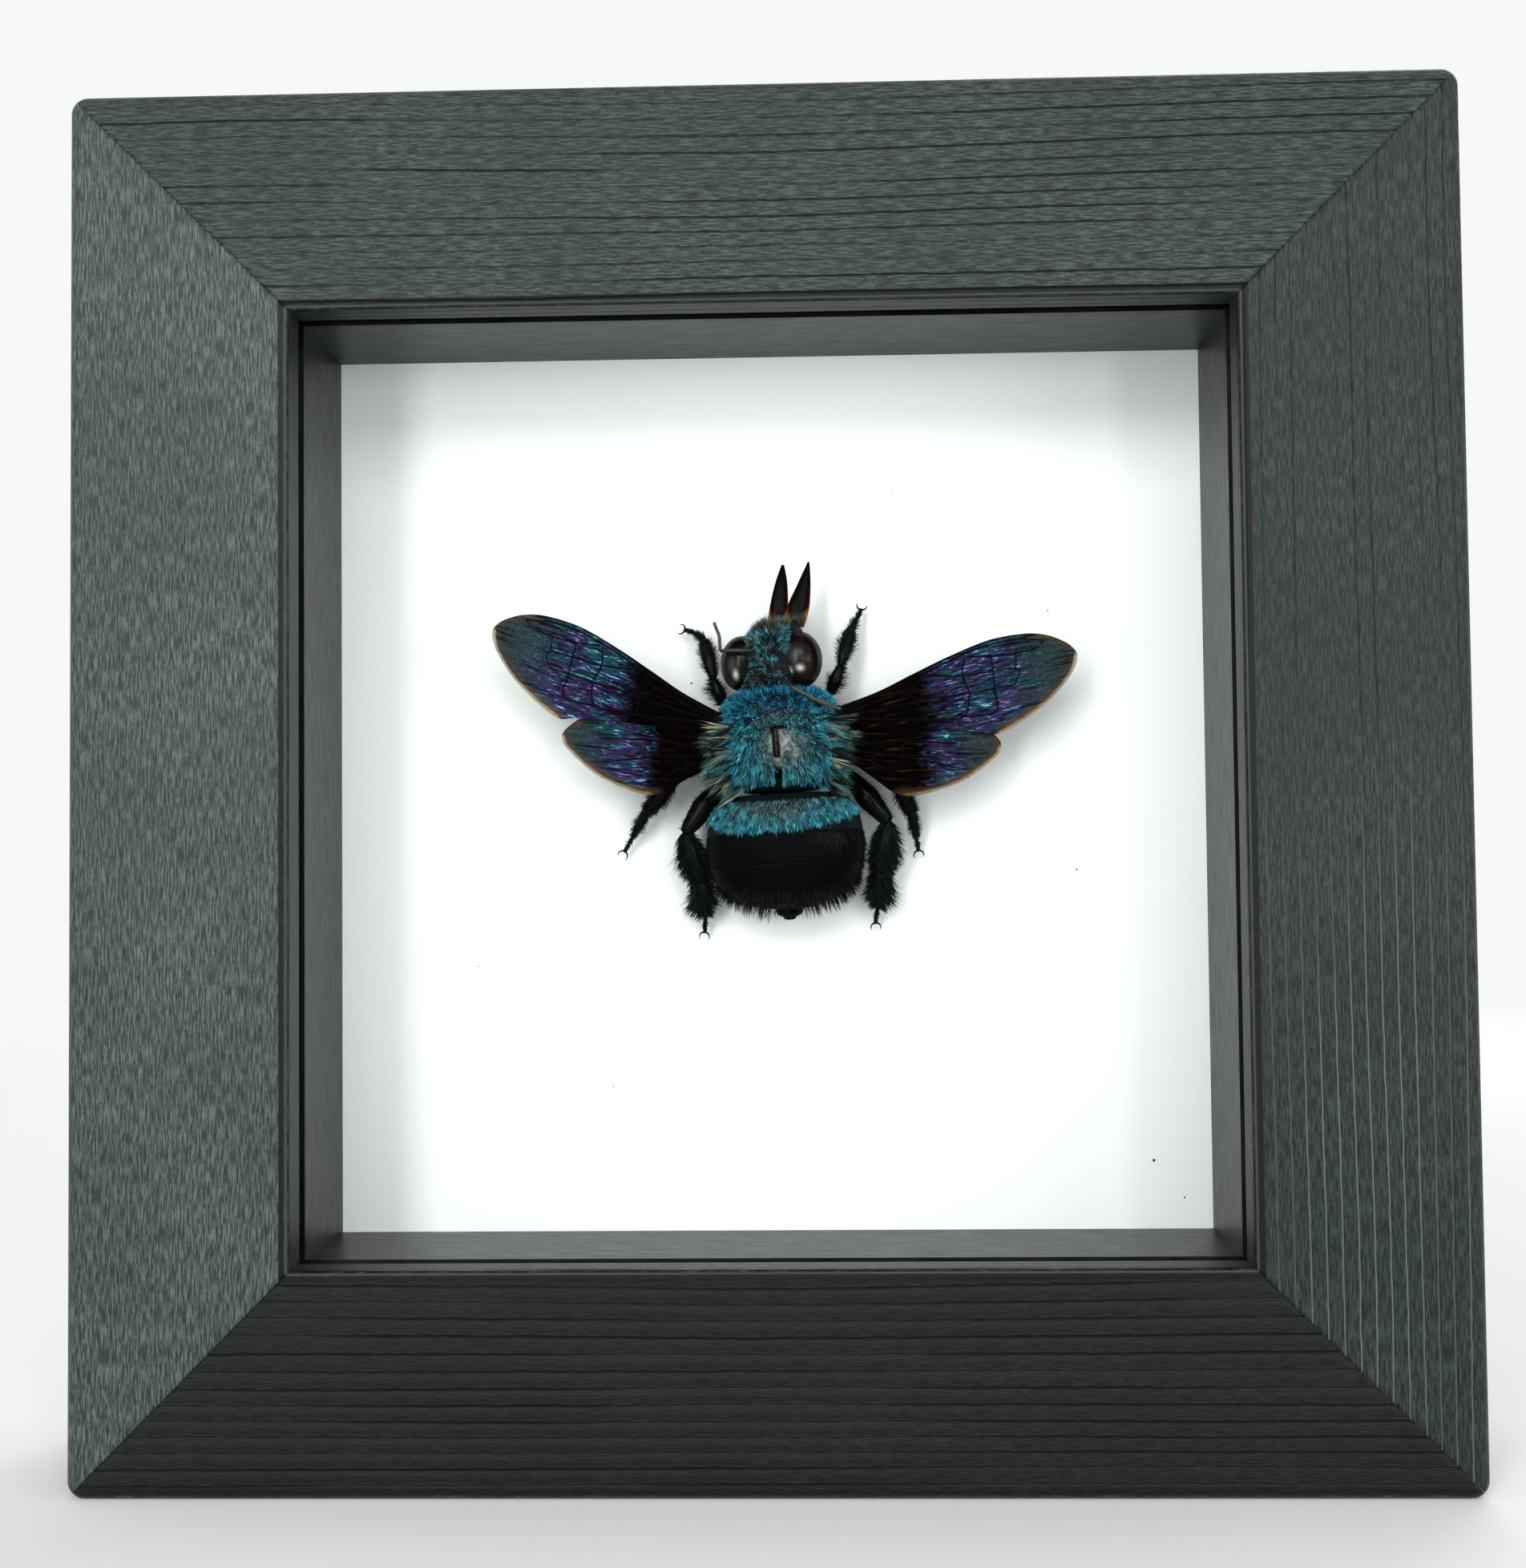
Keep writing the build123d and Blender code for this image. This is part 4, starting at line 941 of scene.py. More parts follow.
def wing_material():
    """Dark glossy membrane: brown at its base, blue, violet and green beyond it with painted glints along its wrinkles,
    and amber at its rim.
    """
    look = Look("wing_membrane", Metallic=0.85, Specular_IOR_Level=0.05, Thin_Film_Thickness=300.0,
                Thin_Film_IOR=1.12)
    times, plus, span = look.times, look.plus, look.span
    u, v, dim, reach = (look.value(name) for name in ("wing_u", "wing_v", "glow", "reach"))
    both, apart = plus(u, v), look.math("SUBTRACT", u, v)

    def waves(x, y, z, *settings):
        return look.noise(look.vector(x, y, z), 1.0, *settings)

    flow = look.vector(times(u, 0.42), times(v, 1.25), dim)
    wide = look.noise(flow, 0.9, 4, 0.6, 0.7)
    lines = waves(times(u, 0.9), times(v, 5.5), dim, 4, 0.62, 0.8)
    weave = waves(times(both, 2.2), times(v, 3.2), 0.0, 3, 0.6)
    cross = waves(times(apart, 3.5), times(both, 1.2), 0.0, 3, 0.65)
    streak = waves(times(u, 0.25), times(v, 4.0), 0.0, 3)
    ragged = waves(times(u, 0.5), times(v, 1.1), dim, 4, 0.75, 1.2)

    sheen = look.ramp(wide, (0.30, (0.006, 0.036, 0.030)), (0.42, (0.007, 0.026, 0.044)),
                      (0.51, (0.012, 0.012, 0.046)), (0.56, (0.024, 0.008, 0.034)), (0.62, (0.006, 0.016, 0.036)),
                      (0.74, (0.010, 0.042, 0.040)))
    middle = times(span(reach, 0.36, 0.46), span(reach, 0.92, 0.62, 0.25, 1))
    # Painted glints: bright streaks along the wrinkles in the middle of the wing
    glint = times(span(lines, 0.57, 0.65), middle)
    bright = look.ramp(wide, (0.42, (0.110, 0.36, 0.42)), (0.52, (0.15, 0.22, 0.52)), (0.60, (0.24, 0.10, 0.32)))
    sheen = look.layers(
        sheen, (times(glint, 0.9), bright), (span(lines, 0.47, 0.36, 0, 0.92), (0.0020, 0.0022, 0.006)),
        (times(span(weave, 0.55, 0.72), span(reach, 0.55, 0.8, 0, 0.7)), (0.040, 0.085, 0.060)),
        (span(plus(reach, times(wide, 0.25)), 0.80, 1.02, 0, 0.75), (0.018, 0.030, 0.026)),
        (times(span(cross, 0.50, 0.40), span(reach, 0.6, 0.8, 0, 0.6)), (0.004, 0.006, 0.008)))
    amber = times(span(streak, 0.56, 0.70), span(dim, 0.5, 1.6, 0.18, 0.8))
    root = look.mix(amber, (0.0016, 0.0009, 0.0011), (0.070, 0.020, 0.004))
    edge = plus(look.value("zone"), times(look.math("SUBTRACT", ragged, 0.5), 0.42))
    rim = plus(look.value("rim"), times(look.noise(flow, 2.2, 4), 0.10))
    tone = look.layers(
        root, (span(edge, 0.36, 0.50), sheen), (look.value("vein"), (0.004, 0.003, 0.006)),
        (span(rim, 0.50, 0.90, 0, 0.85), (0.046, 0.027, 0.016)), (span(rim, 0.92, 1.03), (0.200, 0.115, 0.030)))
    height = plus(lines, times(look.noise(flow, 9.0, 4, 0.7), 0.5))
    return look.finish(tone, span(edge, 0.36, 0.52, 0.80, 0.31), height, 0.5, 0.00016,
                       Alpha=span(rim, 0.90, 1.05, 1.0, 0.72))


def distance_to(points, line):
    """How far each point is from a line of close points."""
    best = np.full(len(points), 1e9)
    for a, b in zip(line[:-1], line[1:]):
        ab = b - a
        t = np.clip(((points - a) @ ab) / max(ab @ ab, 1e-12), 0, 1)
        best = np.minimum(best, np.hypot(*(points - a - t[:, None] * ab).T))
    return best


# Outline of each wing along its front edge, outer margin and rear edge, and its veins
wing_shapes = {
    "forewing": (
        ((-0.9, 0.35), (0.4, 0.55), (4.5, 1.15), (8.3, 2.1), (12.3, 3.05), (16.5, 3.7), (20.6, 3.3), (23.2, 1.9),
         (24.1, 0.4)),
        ((24.1, 0.4), (23.3, -1.1), (21.1, -2.9), (18.4, -4.3), (15.2, -5.35)),
        ((15.2, -5.35), (13.4, -4.8), (10.0, -3.8), (5.0, -2.6), (0.4, -1.9), (-0.9, -1.7)),
        (((0.6, 0.15), (8.6, 1.75), (14.4, 3.05), (18.4, 3.2), (21.4, 2.5)),
         ((13.8, 2.6), (16.8, 2.0), (20.2, 1.9), (21.4, 2.5)),
         ((0.6, -0.1), (7.2, 0.7), (9.2, 1.8)),
         ((7.2, 0.7), (8.4, -0.4), (13.2, -0.9), (17.6, -1.1)),
         ((0.6, -0.3), (6.4, -0.6), (8.4, -0.4)),
         ((13.4, 2.5), (12.9, 0.9), (13.2, -0.9)),
         ((9.2, 1.8), (12.9, 0.9), (18.0, 0.4), (17.6, -1.1)),
         ((16.0, 2.1), (15.6, -1.0)),
         ((18.4, 1.95), (18.0, 0.4)),
         ((0.6, -0.5), (6.0, -1.9), (11.0, -3.3)),
         ((8.4, -0.4), (8.0, -2.4)),
         ((13.2, -0.9), (12.0, -3.0), (8.0, -2.4)),
         ((15.6, -1.0), (15.2, -3.2), (12.0, -3.0))),
    ),
    "hindwing": (
        ((-0.9, 0.35), (0.4, 0.7), (4.5, 2.5), (9.0, 3.1), (13.2, 2.6), (15.4, 1.1), (15.9, 0)),
        ((15.9, 0), (15.2, -1.1), (12.0, -3.3), (7.9, -4.55), (5.6, -4.3)),
        ((5.6, -4.3), (3.6, -2.9), (1.8, -1.6), (0.4, -0.8), (-0.9, -0.5)),
        (((0.6, 0.2), (6.6, 0.7), (12.2, 0.3)),
         ((0.6, -0.05), (6.2, -0.8), (11.4, -1.9)),
         ((6.6, 0.7), (6.2, -0.8)),
         ((0.6, -0.3), (3.6, -1.5), (6.2, -3.2)),
         ((3.6, -0.4), (3.6, -1.5))),
    ),
}
wing_look = wing_material()
vein_look = cuticle("wing_vein", (0.0018, 0.0012, 0.0018), 0.7, Specular_IOR_Level=0.02)
wing_root_x, wing_root_height, hindwing_drop, droop = 5.4, 7.6, 0.32, radians(1.4)
inner_edge, front_vein_inset = -0.5, 0.06


def add_wing(kind, side_name, side, root_y, root_height, rise, glow, shift, seed):
    """One wing as a wrinkled membrane with raised veins. rise is how far it is swept forward, in degrees."""
    front, margin, rear, veins = wing_shapes[kind]
    name, tilt = f"{kind}_{side_name}", radians(rise)
    outward = np.array([side * cos(tilt) * cos(droop), sin(tilt) * cos(droop), -sin(droop)])
    up = np.array([side * cos(tilt) * sin(droop), sin(tilt) * sin(droop), cos(droop)])
    forward = np.cross(up, outward) * side
    root = np.array([side * wing_root_x, root_y, root_height])
    outline = curve_through(front + margin[1:] + rear[1:], 700)
    far = np.argmax(outline[:, 0])
    upper, lower = outline[:far + 1], outline[far:][::-1]
    reach = outline[far, 0]
    columns, rows = 210, 74
    u = inner_edge + (reach - inner_edge) * np.sin(np.linspace(0, pi / 2, columns)) ** 0.9
    top, bottom = (np.interp(u, line[:, 0], line[:, 1]) for line in (upper, lower))
    across = (1 - np.cos(np.linspace(0, pi, rows))) / 2 * 0.35 + np.linspace(0, 1, rows) * 0.65
    v = (top[None, :] + (bottom - top)[None, :] * across[:, None]).ravel()
    u = np.tile(u, rows)
    flat = np.stack([u, v], 1)
    lines = [curve_through(vein, 40) for vein in veins]
    near = np.minimum.reduce([distance_to(flat, line) for line in lines] + [np.full(len(flat), 9.0)])
    to_rim = np.minimum(distance_to(flat, curve_through(margin, 60)),
                        distance_to(flat, curve_through(front[-3:], 30)) + 0.35)
    share = u / reach
    bulge = 0.16 * smooth(0, 0.75, near) * smooth(0, 0.5, to_rim)
    folds = 0.11 * noise(u * 0.42 + 0.5 * noise(u * 0.3, v * 0.8, seed), v * 2.6, seed + 1)
    folds = folds + 0.06 * noise(u * 0.8, v * 5.5, seed + 2)
    plate = 0.05 * np.sin(v * 3.1 + 0.15 * u) * smooth(0.55, 0.2, share)
    lift = bulge + folds * smooth(0.25, 0.5, share) * smooth(0, 0.6, to_rim) + plate + 0.05
    lift = lift + 0.35 * noise(u * 0.12 + 3, v * 0.2, seed + 3) * smooth(0.3, 1, share)

    def place(points, high):
        return root + points[:, :1] * outward + points[:, 1:] * forward + high[:, None] * up

    faces = grid_faces(rows, columns)
    values = {"wing_u": u, "wing_v": v, "reach": share, "vein": bell(near, 0, 0.09) * 0.8, "zone": share + shift,
              "glow": np.full(len(u), glow), "rim": smooth(1.7, 0.0, to_rim) * smooth(0.2, 0.45, share)}
    bee_piece("membrane_" + name, (place(flat, lift), [faces[:, ::side]]), wing_look, "wing_membrane", name,
              values=values)
    ribs = []
    for line in lines + [upper[np.linspace(0, len(upper) - 1, 80).astype(int)] - (0, front_vein_inset)]:
        level = np.array([lift[np.argmin((u - p[0]) ** 2 + (v - p[1]) ** 2)] for p in line])
        thin = np.interp(line[:, 0], (0, 0.5 * reach, reach), (0.15, 0.07, 0.03))
        ribs.append(tube(place(line, level + 0.01), thin, 8, up=up))
    bee_piece("veins_" + name, joined(ribs), vein_look, "wing_membrane")


for side_name, side, fore_rise, hind_rise, glow, fore_shift, hind_shift in (
    ("left", -1, 24.0, 9.6, 0.3, 0.03, -0.035),
    ("right", 1, 9.7, -2.6, 1.7, 0.02, -0.14),
):
    add_wing("forewing", side_name, side, 2.2, wing_root_height, fore_rise, glow, fore_shift, 21)
    add_wing("hindwing", side_name, side, -1.1, wing_root_height - hindwing_drop, hind_rise, glow + 0.5, hind_shift, 33)
    turn = np.arange(28) * 2 * pi / 28
    dome = np.vstack([vectors(side * 5.75 + 0.85 * s * np.cos(turn), 2.1 + 0.95 * s * np.sin(turn), 7.85 + r)
                      for s, r in ((1, 0), (1.02, 0.14), (0.93, 0.32), (0.75, 0.46), (0.45, 0.55), (0.1, 0.58))])
    bee_piece(f"wing_scale_{side_name}", (dome, [grid_faces(6, 28, True)[:, ::-1]]), shell_look, "black_cuticle",
              f"tegula_{side_name}")


# Legs

# Hip, start of the femur, knee, shin's end, ankle, last joint and claws of each leg
legs = {
    "foreleg_left": ((-3.6, 3.0, 2.8), (-5.4, 4.0, 3.4), (-6.2, 6.6, 3.6), (-7.0, 10.6, 2.4), (-7.9, 11.5, 1.8),
                     (-8.8, 11.9, 1.3), (-9.4, 12.1, 0.9)),
    "foreleg_right": ((3.4, 3.2, 2.8), (5.0, 4.4, 3.4), (6.3, 7.2, 3.6), (7.5, 10.8, 2.4), (8.2, 12.0, 1.8),
                      (8.6, 12.8, 1.3), (8.75, 13.3, 0.9)),
    "middle_leg_left": ((-4.0, 0.4, 2.6), (-5.8, -0.6, 3.0), (-10.4, -2.9, 3.9), (-13.6, -6.0, 2.6),
                        (-15.2, -8.4, 1.7), (-16.0, -9.6, 1.2), (-16.4, -10.2, 0.9)),
    "middle_leg_right": ((4.0, 0.2, 2.6), (5.8, -1.0, 3.0), (10.9, -3.6, 3.9), (12.5, -7.6, 2.6),
                         (12.8, -10.0, 1.7), (12.95, -11.1, 1.2), (13.0, -11.6, 0.9)),
    "hind_leg_left": ((-3.9, -3.0, 2.6), (-6.0, -3.6, 3.4), (-9.8, -8.3, 4.0), (-8.5, -13.2, 2.8),
                      (-8.4, -16.6, 2.0), (-8.55, -18.0, 1.3), (-8.7, -18.8, 0.9)),
    "hind_leg_right": ((3.9, -3.0, 2.6), (6.4, -3.4, 3.4), (10.1, -8.3, 4.0), (9.1, -13.2, 2.8),
                       (8.6, -16.7, 2.0), (8.35, -18.0, 1.3), (8.35, -18.7, 0.9)),
}
# Radius, number of hairs and their length on the femur, tibia and basitarsus of each kind of leg
leg_kinds = {
    "foreleg": ((0.68, 260, 0.75), (0.68, 460, 1.0), (0.34, 240, 0.7)),
    "middle": ((0.78, 260, 0.75), (0.80, 620, 1.0), (0.52, 380, 0.8)),
    "hind": ((1.2, 420, 0.7), (1.08, 1500, 1.1), (1.0, 1000, 1.1)),
}
# How thick each part is along its length, as shares of its radius
shapes = {
    "coxa": ((0, 0.8), (0.5, 1.0), (1, 0.75)),
    "femur": ((0, 0.6), (0.15, 0.7), (0.5, 1), (0.9, 0.65), (1, 0.6)),
    "tibia": ((0, 0.5), (0.08, 0.62), (0.5, 1), (0.9, 0.98), (1, 0.95)),
    "basitarsus": ((0, 1.0), (0.1, 0.98), (0.6, 0.8), (0.95, 0.5), (1, 0.4)),
    "tarsal_joint": ((0, 0.55), (0.75, 1.1), (1, 0.8)),
}
tarsal_joints = 4
rear_hair_from = -5.5
leg_hair_parts = []


def limb_tube(a, b, radius, part, bow=0.0, sides=18):
    """One part of a leg from a to b, thickest as its shape says, and bowed a little off the board."""
    t = np.linspace(0, 1, 16)
    line = a + (b - a) * t[:, None]
    line[:, 2] += bow * np.sin(t * pi)
    size = np.interp(t, *zip(*shapes[part])) * radius
    return tube(line, size * (1 - 0.18 * np.abs(2 * t - 1) ** 8), sides, flat=0.86)


def leg_hairs(a, b, radius, part, count, length, toward, lean=None, thick=1.0):
    """Hair around one part of a leg, pointing out and towards its end, and to one side if it leans there."""
    t = rng.uniform(0.02, 1.0, count)
    along = unit(b - a)
    out = rng.normal(size=(count, 3))
    out = unit(out - (out @ along)[:, None] * along)
    if lean is not None:
        out = unit(out + lean * 1.5)
    out[:, 2] = np.abs(out[:, 2]) * 0.8
    size = np.interp(t, *zip(*shapes[part])) * radius
    roots = a + (b - a) * t[:, None] + out * size[:, None] * 0.9
    ways = out + along * toward + rng.normal(0, 0.18, (count, 3))
    radii = thick * rng.uniform(0.018, 0.032, count)
    lengths = length * rng.uniform(0.3, 1.15, count) * (0.45 + 0.55 * np.sin(np.clip(t * 1.15, 0, 1) * pi))
    leg_hair_parts.append((roots, ways, radii, lengths))


def add_leg(name, joints):
    """One bare leg with its claws and spurs, and the roots of its hair."""
    hip, start, knee, shin, ankle, last, claws = (np.array(p, float) for p in joints)
    kind = name.split("_")[0]
    (femur, *femur_hair), (tibia, *tibia_hair), (basitarsus, *basitarsus_hair) = leg_kinds[kind]
    outer = np.array([np.sign(hip[0]), -0.2, 0.0])
    parts = [limb_tube(hip, start, femur * 0.85, "coxa"), limb_tube(start, knee, femur, "femur", 0.15),
             limb_tube(knee, shin, tibia, "tibia", 0.1), limb_tube(shin, ankle, basitarsus, "basitarsus")]
    for i in range(tarsal_joints):
        a, b = (ankle + (last - ankle) * k / tarsal_joints for k in (i, i + 1))
        parts.append(limb_tube(a, b, 0.22, "tarsal_joint", sides=10))
    along = unit(claws - last)
    beside = unit(np.cross(along, (0, 0, 1)))
    parts.append(tube(np.linspace(last, last + along * 0.3, 5), (0.16, 0.19, 0.2, 0.18, 0.12), 10))
    for way in (-1, 1):
        hook = [last + along * far + beside * way * out for far, out in ((0.15, 0.08), (0.40, 0.38), (0.72, 0.50),
                                                                         (1.0, 0.40))]
        hook[-1] = hook[-1] - (0, 0, 0.18)
        parts.append(tube(curve_through(hook, 14), np.linspace(0.105, 0.025, 14), 8))
        spur = [shin + beside * way * basitarsus * 0.5,
                shin + beside * way * basitarsus * 0.9 + unit(ankle - shin) * 0.55]
        parts.append(tube(np.linspace(spur[0], spur[1], 6), np.linspace(0.09, 0.02, 6), 8))
    bee_piece("bare_" + name, joined(parts), leg_look, "black_cuticle", name)

    leg_hairs(start, knee, femur, "femur", *femur_hair, 0.55)
    leg_hairs(knee, shin, tibia, "tibia", *tibia_hair, 0.8)
    leg_hairs(shin, ankle, basitarsus, "basitarsus", *basitarsus_hair, 1.0)
    leg_hairs(ankle, last, 0.2, "coxa", 160, 0.35, 0.9)
    if kind == "hind":
        for a, b, size, part, outside, inside in ((knee, shin, tibia, "tibia", 330, 220),
                                                  (shin, ankle, basitarsus, "basitarsus", 250, 160)):
            leg_hairs(a, b, size, part, outside, 1.9, 0.8, outer, 1.7)
            leg_hairs(a, b, size, part, inside, 1.6, 0.9, -outer, 1.7)
    elif kind == "foreleg":
        leg_hairs(start, knee, femur, "femur", 160, 1.5, 0.1, outer * (1, 0, 0))


for name, joints in legs.items():
    add_leg(name, joints)
roots, ways, radii, lengths = (np.concatenate(part) for part in zip(*leg_hair_parts))
ends = clumped(roots, ways + (0, -0.1, -0.12), lengths, 1500, 0.3)
tints = blended(rng.rand(len(roots)) ** 4, (0.003, 0.004, 0.0045), (0.040, 0.055, 0.058))
# Two pieces: the hair in front of rear_hair_from and the hair behind it. Two pieces,
# since one would have too many faces for the export
front = roots[:, 1] > rear_hair_from
for name, some in (("leg_hair_front", front), ("leg_hair_rear", ~front)):
    strands(name, roots[some], ways[some], ends[some], lengths[some], radii[some], tints[some], brush_look,
            slot="black_cuticle")


# The hair coat

def coat_on_thorax():
    """The blue coat of the thorax, bluer in front, worn off on its back and dark at its sides."""
    roots, normals = thorax.scatter(-4.3, 4.85, -25, 205, 15000)
    x, y, h = roots.T
    in_slot = (np.abs(x + 0.3 + 0.03 * y) < 0.36 + 0.25 * smooth(-2, 0, y)) & (y < 1.15) & (y > -4.2) & (h > 9)
    wing_hole = (np.abs(x) > 4.9) & (np.abs(y - 0.8) < 2.4) & (np.abs(h - 7.3) < 0.8)
    thin = smooth(0.35, 0.9, noise(x * 2.3, y * 2.3, 91)) * 0.55
    keep = (rng.rand(len(roots)) > np.maximum(bare_patch(x, y, h) * 0.97, thin)) & ~in_slot & ~wing_hole
    roots, normals = roots[keep], normals[keep]
    x, y, h = roots.T
    count = len(roots)
    back = smooth(3.6, -3.5, y)
    flow = vectors(0.25 * np.sign(x) * smooth(1, 5, np.abs(x)), -0.25 - 1.0 * back + 1.5 * smooth(3.9, 4.7, y), 0)
    swirl = vectors(noise(x * 1.1, y * 1.1, 41), noise(x * 1.1, y * 1.1, 42), 0) * 0.55
    lengths = (0.62 + 0.65 * back + 0.1 * smooth(4, 5.6, np.abs(x))) * rng.uniform(0.7, 1.15, count)
    rear_edge = smooth(-3.2, -4.3, y + 0.35 * noise(x * 1.5, y * 0, 77)) * smooth(9.0, 9.8, h + 0.6 * (y + 4.5))
    lengths = lengths * (1 - 0.72 * rear_edge)
    starts = normals + flow * 0.25 + rng.normal(0, 0.15, (count, 3))
    ends = normals * 0.45 + flow * 0.9 + swirl + rng.normal(0, 0.22, (count, 3))
    ends = clumped(roots, ends, lengths, 1150, 0.72)
    colours = mottled(roots, 0.16, 0.05)
    front = smooth(1.2, 3.4, y + 0.8 * noise(x * 0.7, y * 0.7, 6)) * smooth(5.6, 3.2, np.abs(x))
    light = np.clip(colours.sum(1) / np.sum(turquoise), 0.12, 1.9)
    colours = blended(front * 0.8, colours, np.array(azure) * light[:, None])
    side = smooth(4.0, 5.6, np.abs(x)) * smooth(3.0, 1.5, y)
    colours = blended(side * (rng.rand(count) < 0.70), colours, (0.006, 0.010, 0.011))
    colours = blended(side * (rng.rand(count) < 0.18), colours, (0.30, 0.32, 0.24))
    dull = blob(x, y, (0.4, -1.3), (2.6, 1.9)) * smooth(9, 10.3, h)
    colours = blended(np.clip(dull * rng.uniform(0.1, 1.1, count), 0, 1), colours, (0.13, 0.15, 0.13))
    strands("thorax_hair", roots, starts, ends, lengths, rng.uniform(0.032, 0.058, count), colours, hair_look)


def tufts_at_wings():
    """Long pale and black tufts beside the wing roots."""
    dark, blue, cream, green = (0.006, 0.007, 0.007), (0.05, 0.21, 0.23), (0.50, 0.50, 0.37), (0.16, 0.30, 0.28)
    tufts, tufts_a_side = [], 120
    for side in [-1] * tufts_a_side + [1] * tufts_a_side:
        y = rng.uniform(-4.3, 1.9)
        angle = radians(rng.uniform(24, 46))
        root = thorax.at(np.array(y), np.array(angle if side > 0 else pi - angle))
        way = (side * rng.uniform(0.8, 1.3), rng.uniform(-0.9, 0.3) - 0.35 * (y < -1.5), rng.uniform(0.0, 0.45))
        tint = dark if rng.rand() < 0.56 else blue if rng.rand() < 0.55 else cream if rng.rand() < 0.6 else green
        tint = np.array(tint) * rng.uniform(0.7, 1.2)
        count = rng.randint(6, 15)
        tufts.append((root + rng.normal(0, 0.10, (count, 3)), way + rng.normal(0, 0.08, (count, 3)),
                      tint * rng.uniform(0.8, 1.15, (count, 1)),
                      rng.uniform(1.8, 3.5) * rng.uniform(0.75, 1.1, count)))
    roots, ways, colours, lengths = (np.concatenate(part) for part in zip(*tufts))
    ends = clumped(roots, ways - (0, 0, 0.15), lengths, 170, 0.75)
    strands("wing_root_tufts", roots, ways, ends, lengths, rng.uniform(0.030, 0.055, len(roots)), colours,
            hair_look, steps=4)


def band_on_abdomen():
    """The coat of the first ring of the abdomen, lying backwards, thinner in the middle."""
    roots, normals = abdomen.scatter(-8.75, -5.75, -5, 185, 9500)
    x, y, h = roots.T
    edge = -8.35 + 0.043 * x + 0.016 * x ** 2 + 0.12 * noise(x * 1.7, y * 0, 13)
    bald = blob(x, y, (-1.6, -6.6), (2.0, 0.8)) * 0.8 + blob(x, y, (1.6, -6.0), (1.2, 0.5)) * 0.6
    keep = (y > edge) & (rng.rand(len(roots)) > bald * 0.75)
    roots, normals = roots[keep], normals[keep]
    x, y, h = roots.T
    count = len(roots)
    flow = vectors(0.18 * x / 7, -1.0, 0)
    lengths = (0.75 + 0.35 * smooth(-5.5, -8, y)) * rng.uniform(0.7, 1.15, count)
    lengths = lengths * (1 - 0.5 * smooth(5.6, 7.0, np.abs(x)))
    starts = normals * 0.8 + flow * 0.5 + rng.normal(0, 0.14, (count, 3))
    ends = clumped(roots, normals * 0.14 + flow + rng.normal(0, 0.2, (count, 3)), lengths, 620, 0.6)
    colours = mottled(roots, 0.25, 0.05, 17)
    dull = np.clip(blob(x, y, (-0.6, -6.4), (3.6, 0.9)) * rng.uniform(0.2, 1.3, count), 0, 1)
    colours = blended(dull, colours, (0.14, 0.14, 0.115))
    strands("abdomen_band_hair", roots, starts, ends, lengths, rng.uniform(0.030, 0.05, count), colours, hair_look)


def coat_on_head():
    """The short blue, dusky and black coat of the head, open where the eyes are."""
    roots, normals = head.scatter(4.9, 11.5, -15, 195, 8200)
    x, y, h = roots.T
    right_eye = (((x - 2.75) / 2.3) ** 2 + ((y - 7.9) / 3.0) ** 2 < 1) | ((x > 1.7) & (y > 8.2))
    left_eye = ((x + 4.7) / 2.35) ** 2 + ((y - 7.5) / 2.6) ** 2 < 1
    gap = (noise(x * 1.9, y * 1.9, 51) > 0.25) & (rng.rand(len(roots)) < 0.75)
    keep = ~right_eye & ~left_eye & ~gap
    roots, normals = roots[keep], normals[keep]
    x, y, h = roots.T
    count = len(roots)
    flow = vectors(0.25 * (x + 0.1), 0.35 + 0.9 * smooth(8.5, 11, y) - 0.9 * smooth(6.2, 5, y), 0)
    lengths = (0.5 + 0.4 * smooth(9, 11.3, y) + 0.25 * smooth(6, 5, y)) * rng.uniform(0.65, 1.2, count)
    starts = normals + rng.normal(0, 0.2, (count, 3))
    ends = normals * 0.6 + flow * 0.8 + rng.normal(0, 0.35, (count, 3))
    ends = clumped(roots, ends, lengths, 480, 0.95)
    colours = mottled(roots, 0.35, 0.12, 29) * 1.3
    dusky = smooth(-0.45, 0.45, noise(x * 1.3 + 4, y * 1.3, 61)) * 0.95 + 0.45 * smooth(9.6, 11.2, y)
    colours = blended(np.clip(dusky * rng.uniform(0.4, 1.2, count), 0, 1), colours, (0.026, 0.030, 0.024))
    colours = blended((rng.rand(count) < 0.22) * 0.9, colours, (0.17, 0.16, 0.12))
    black = noise(x * 3.4, y * 3.4, 88) + rng.normal(0, 0.3, count) > 0.25
    colours = blended(black * 0.95, colours, (0.004, 0.005, 0.005))
    colours = blended(smooth(10.2, 11.4, y) * (rng.rand(count) < 0.6), colours, (0.16, 0.13, 0.07))
    strands("head_hair", roots, starts, ends, lengths, rng.uniform(0.026, 0.046, count), colours, hair_look)


def brow():
    """Light hair beside the right eye."""
    count = 480
    y = rng.uniform(8.2, 10.9, count)
    roots = vectors(rng.uniform(0.2, 1.25, count), y, rng.uniform(8.7, 9.25, count) - 0.9 * smooth(9.4, 11, y))
    ways = np.array([0.55, 0.25, 0.75]) + rng.normal(0, 0.22, (count, 3))
    tints = mottled(roots, 0.5, 0.30, 33) * 0.72
    ends = clumped(roots, ways + (0.35, 0.1, -0.4), np.full(count, 0.8), 60, 0.7)
    strands("brow_hair", roots, ways, ends, rng.uniform(0.45, 0.9, count), rng.uniform(0.028, 0.046, count), tints,
            hair_look)


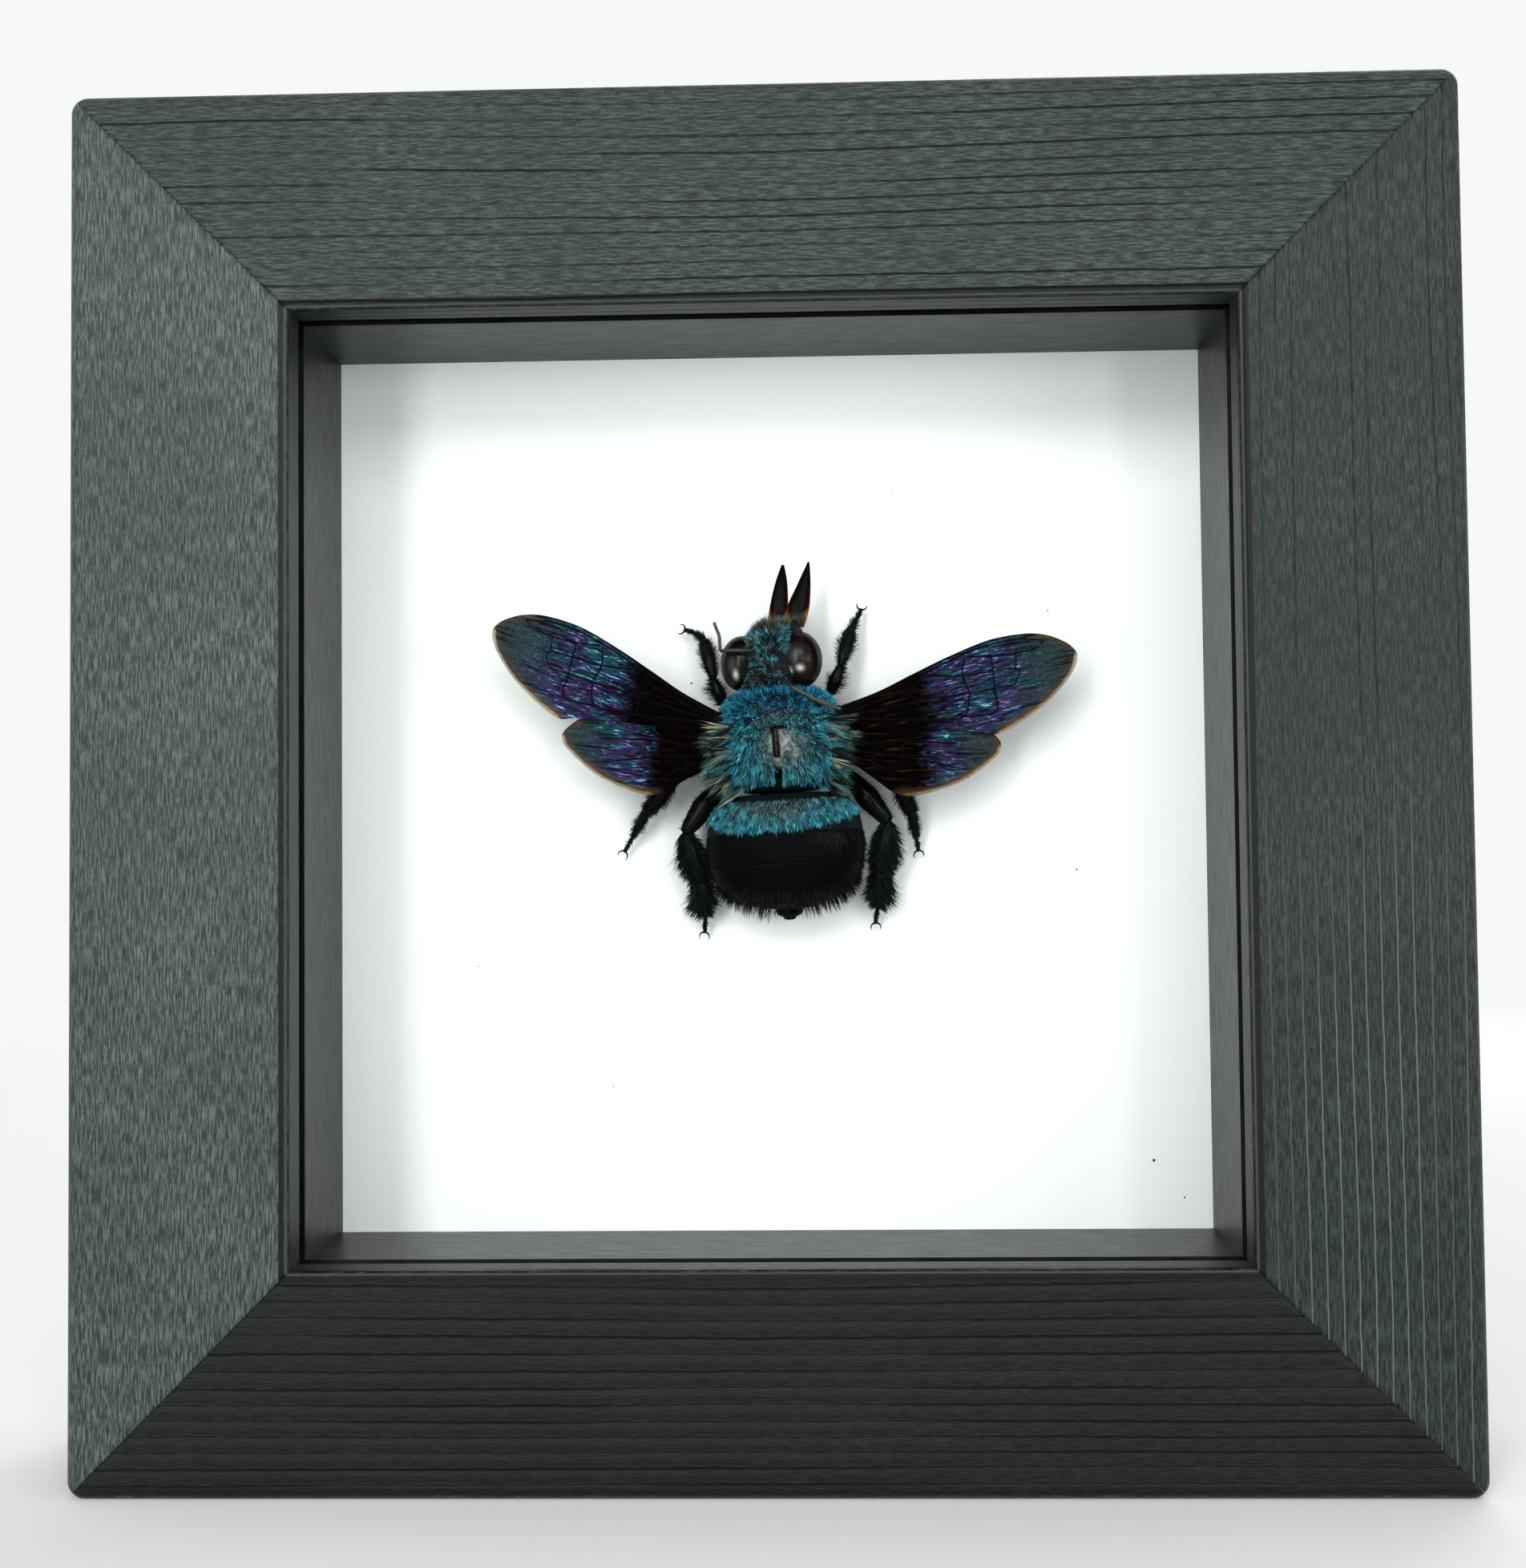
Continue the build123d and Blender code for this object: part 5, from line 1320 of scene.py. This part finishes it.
def fringe_of_abdomen():
    """Black hair along the sides and rear of the abdomen."""
    roots, normals = abdomen.scatter(-16.3, -9.0, -30, 210, 5200)
    low = (roots[:, 2] < 5.6) | (roots[:, 1] < -14.0)
    roots, normals = roots[low], normals[low]
    count = len(roots)
    rear = smooth(-12.5, -15.5, roots[:, 1])
    flow = vectors(0.05 * roots[:, 0], -0.8 - 0.3 * rear, -0.1)
    lengths = (0.35 + 1.0 * rear) * rng.uniform(0.5, 1.15, count)
    ends = clumped(roots, normals * 0.5 + flow + rng.normal(0, 0.2, (count, 3)), lengths, 420, 0.5)
    tints = blended(rng.rand(count) ** 4, (0.003, 0.0035, 0.004), (0.03, 0.036, 0.038))
    strands("abdomen_fringe", roots, normals * 0.6 + flow * 0.6, ends, lengths, rng.uniform(0.022, 0.036, count),
            tints, brush_look, slot="black_cuticle")


def down_and_painted_sheen_of_abdomen():
    """A short sparse coat on the rings of the abdomen, with one grey patch that is partly grey down and partly a
    painted sheen.
    """
    spread = abdomen.scatter(-15.5, -9.1, 15, 165, 1500)
    dull = abdomen.scatter(-11.8, -8.5, 30, 85, 2600)
    # Painted sheen: extra grey hairs gathered where the abdomen shows a soft pale sheen
    near = blob(dull[0][:, 0], dull[0][:, 1], (4.3, -9.6), (1.7, 0.8)) > rng.rand(len(dull[0]))
    roots, normals = (np.vstack([a, b[near]]) for a, b in zip(spread, dull))
    count = len(roots)
    grey = np.arange(count)[:, None] >= len(spread[0])
    ends = normals * 0.12 + (0, -1, 0) + rng.normal(0, 0.12, (count, 3))
    strands("abdomen_down_and_painted_sheen", roots, normals * 0.4 + (0, -0.6, 0), ends, rng.uniform(0.15, 0.34, count), 0.014,
            np.where(grey, (0.050, 0.058, 0.056), (0.008, 0.009, 0.010)), brush_look, 2, "black_cuticle")


def blade_fringe():
    """Fine brown hair at the base of the mouthparts."""
    count = 420
    x, y = rng.uniform(-0.6, 2.9, count), rng.uniform(11.0, 11.7, count)
    roots = vectors(x, y, rng.uniform(5.2, 6.0, count))
    ways = vectors((x - 1.1) * 0.25, 1, rng.uniform(-0.05, 0.35, count))
    ends = ways + rng.normal(0, 0.3, (count, 3))
    strands("mouth_hair", roots, ways, ends, rng.uniform(0.4, 1.2, count), rng.uniform(0.018, 0.032, count),
            blended(rng.rand(count), (0.20, 0.15, 0.08), (0.045, 0.05, 0.035)), hair_look)


def dust_on_board():
    """A few dark specks that lie on the board."""
    parts = []
    for x, y, size in ((-8.7, 6.7, 0.11), (27.2, 11.9, 0.09), (18.3, -4.2, 0.13), (28.5, -14.0, 0.10),
                       (34.3, -43.0, 0.16), (37.1, -46.8, 0.11), (-31.5, -20.4, 0.08), (12.4, 24.8, 0.07),
                       (-18.6, -33.0, 0.08)):
        line = [(x, y, 0.02), (x + 0.4 * size, y, 0.5 * size), (x + 0.9 * size, y + 0.3 * size, 0.6 * size)]
        parts.append(tube(line, (0.7 * size, size, 0.5 * size), 8))
    bee_piece("dust_specks", joined(parts), under_look, "black_cuticle")


coat_on_thorax()
dust_on_board()
tufts_at_wings()
band_on_abdomen()
coat_on_head()
brow()
fringe_of_abdomen()
down_and_painted_sheen_of_abdomen()
blade_fringe()
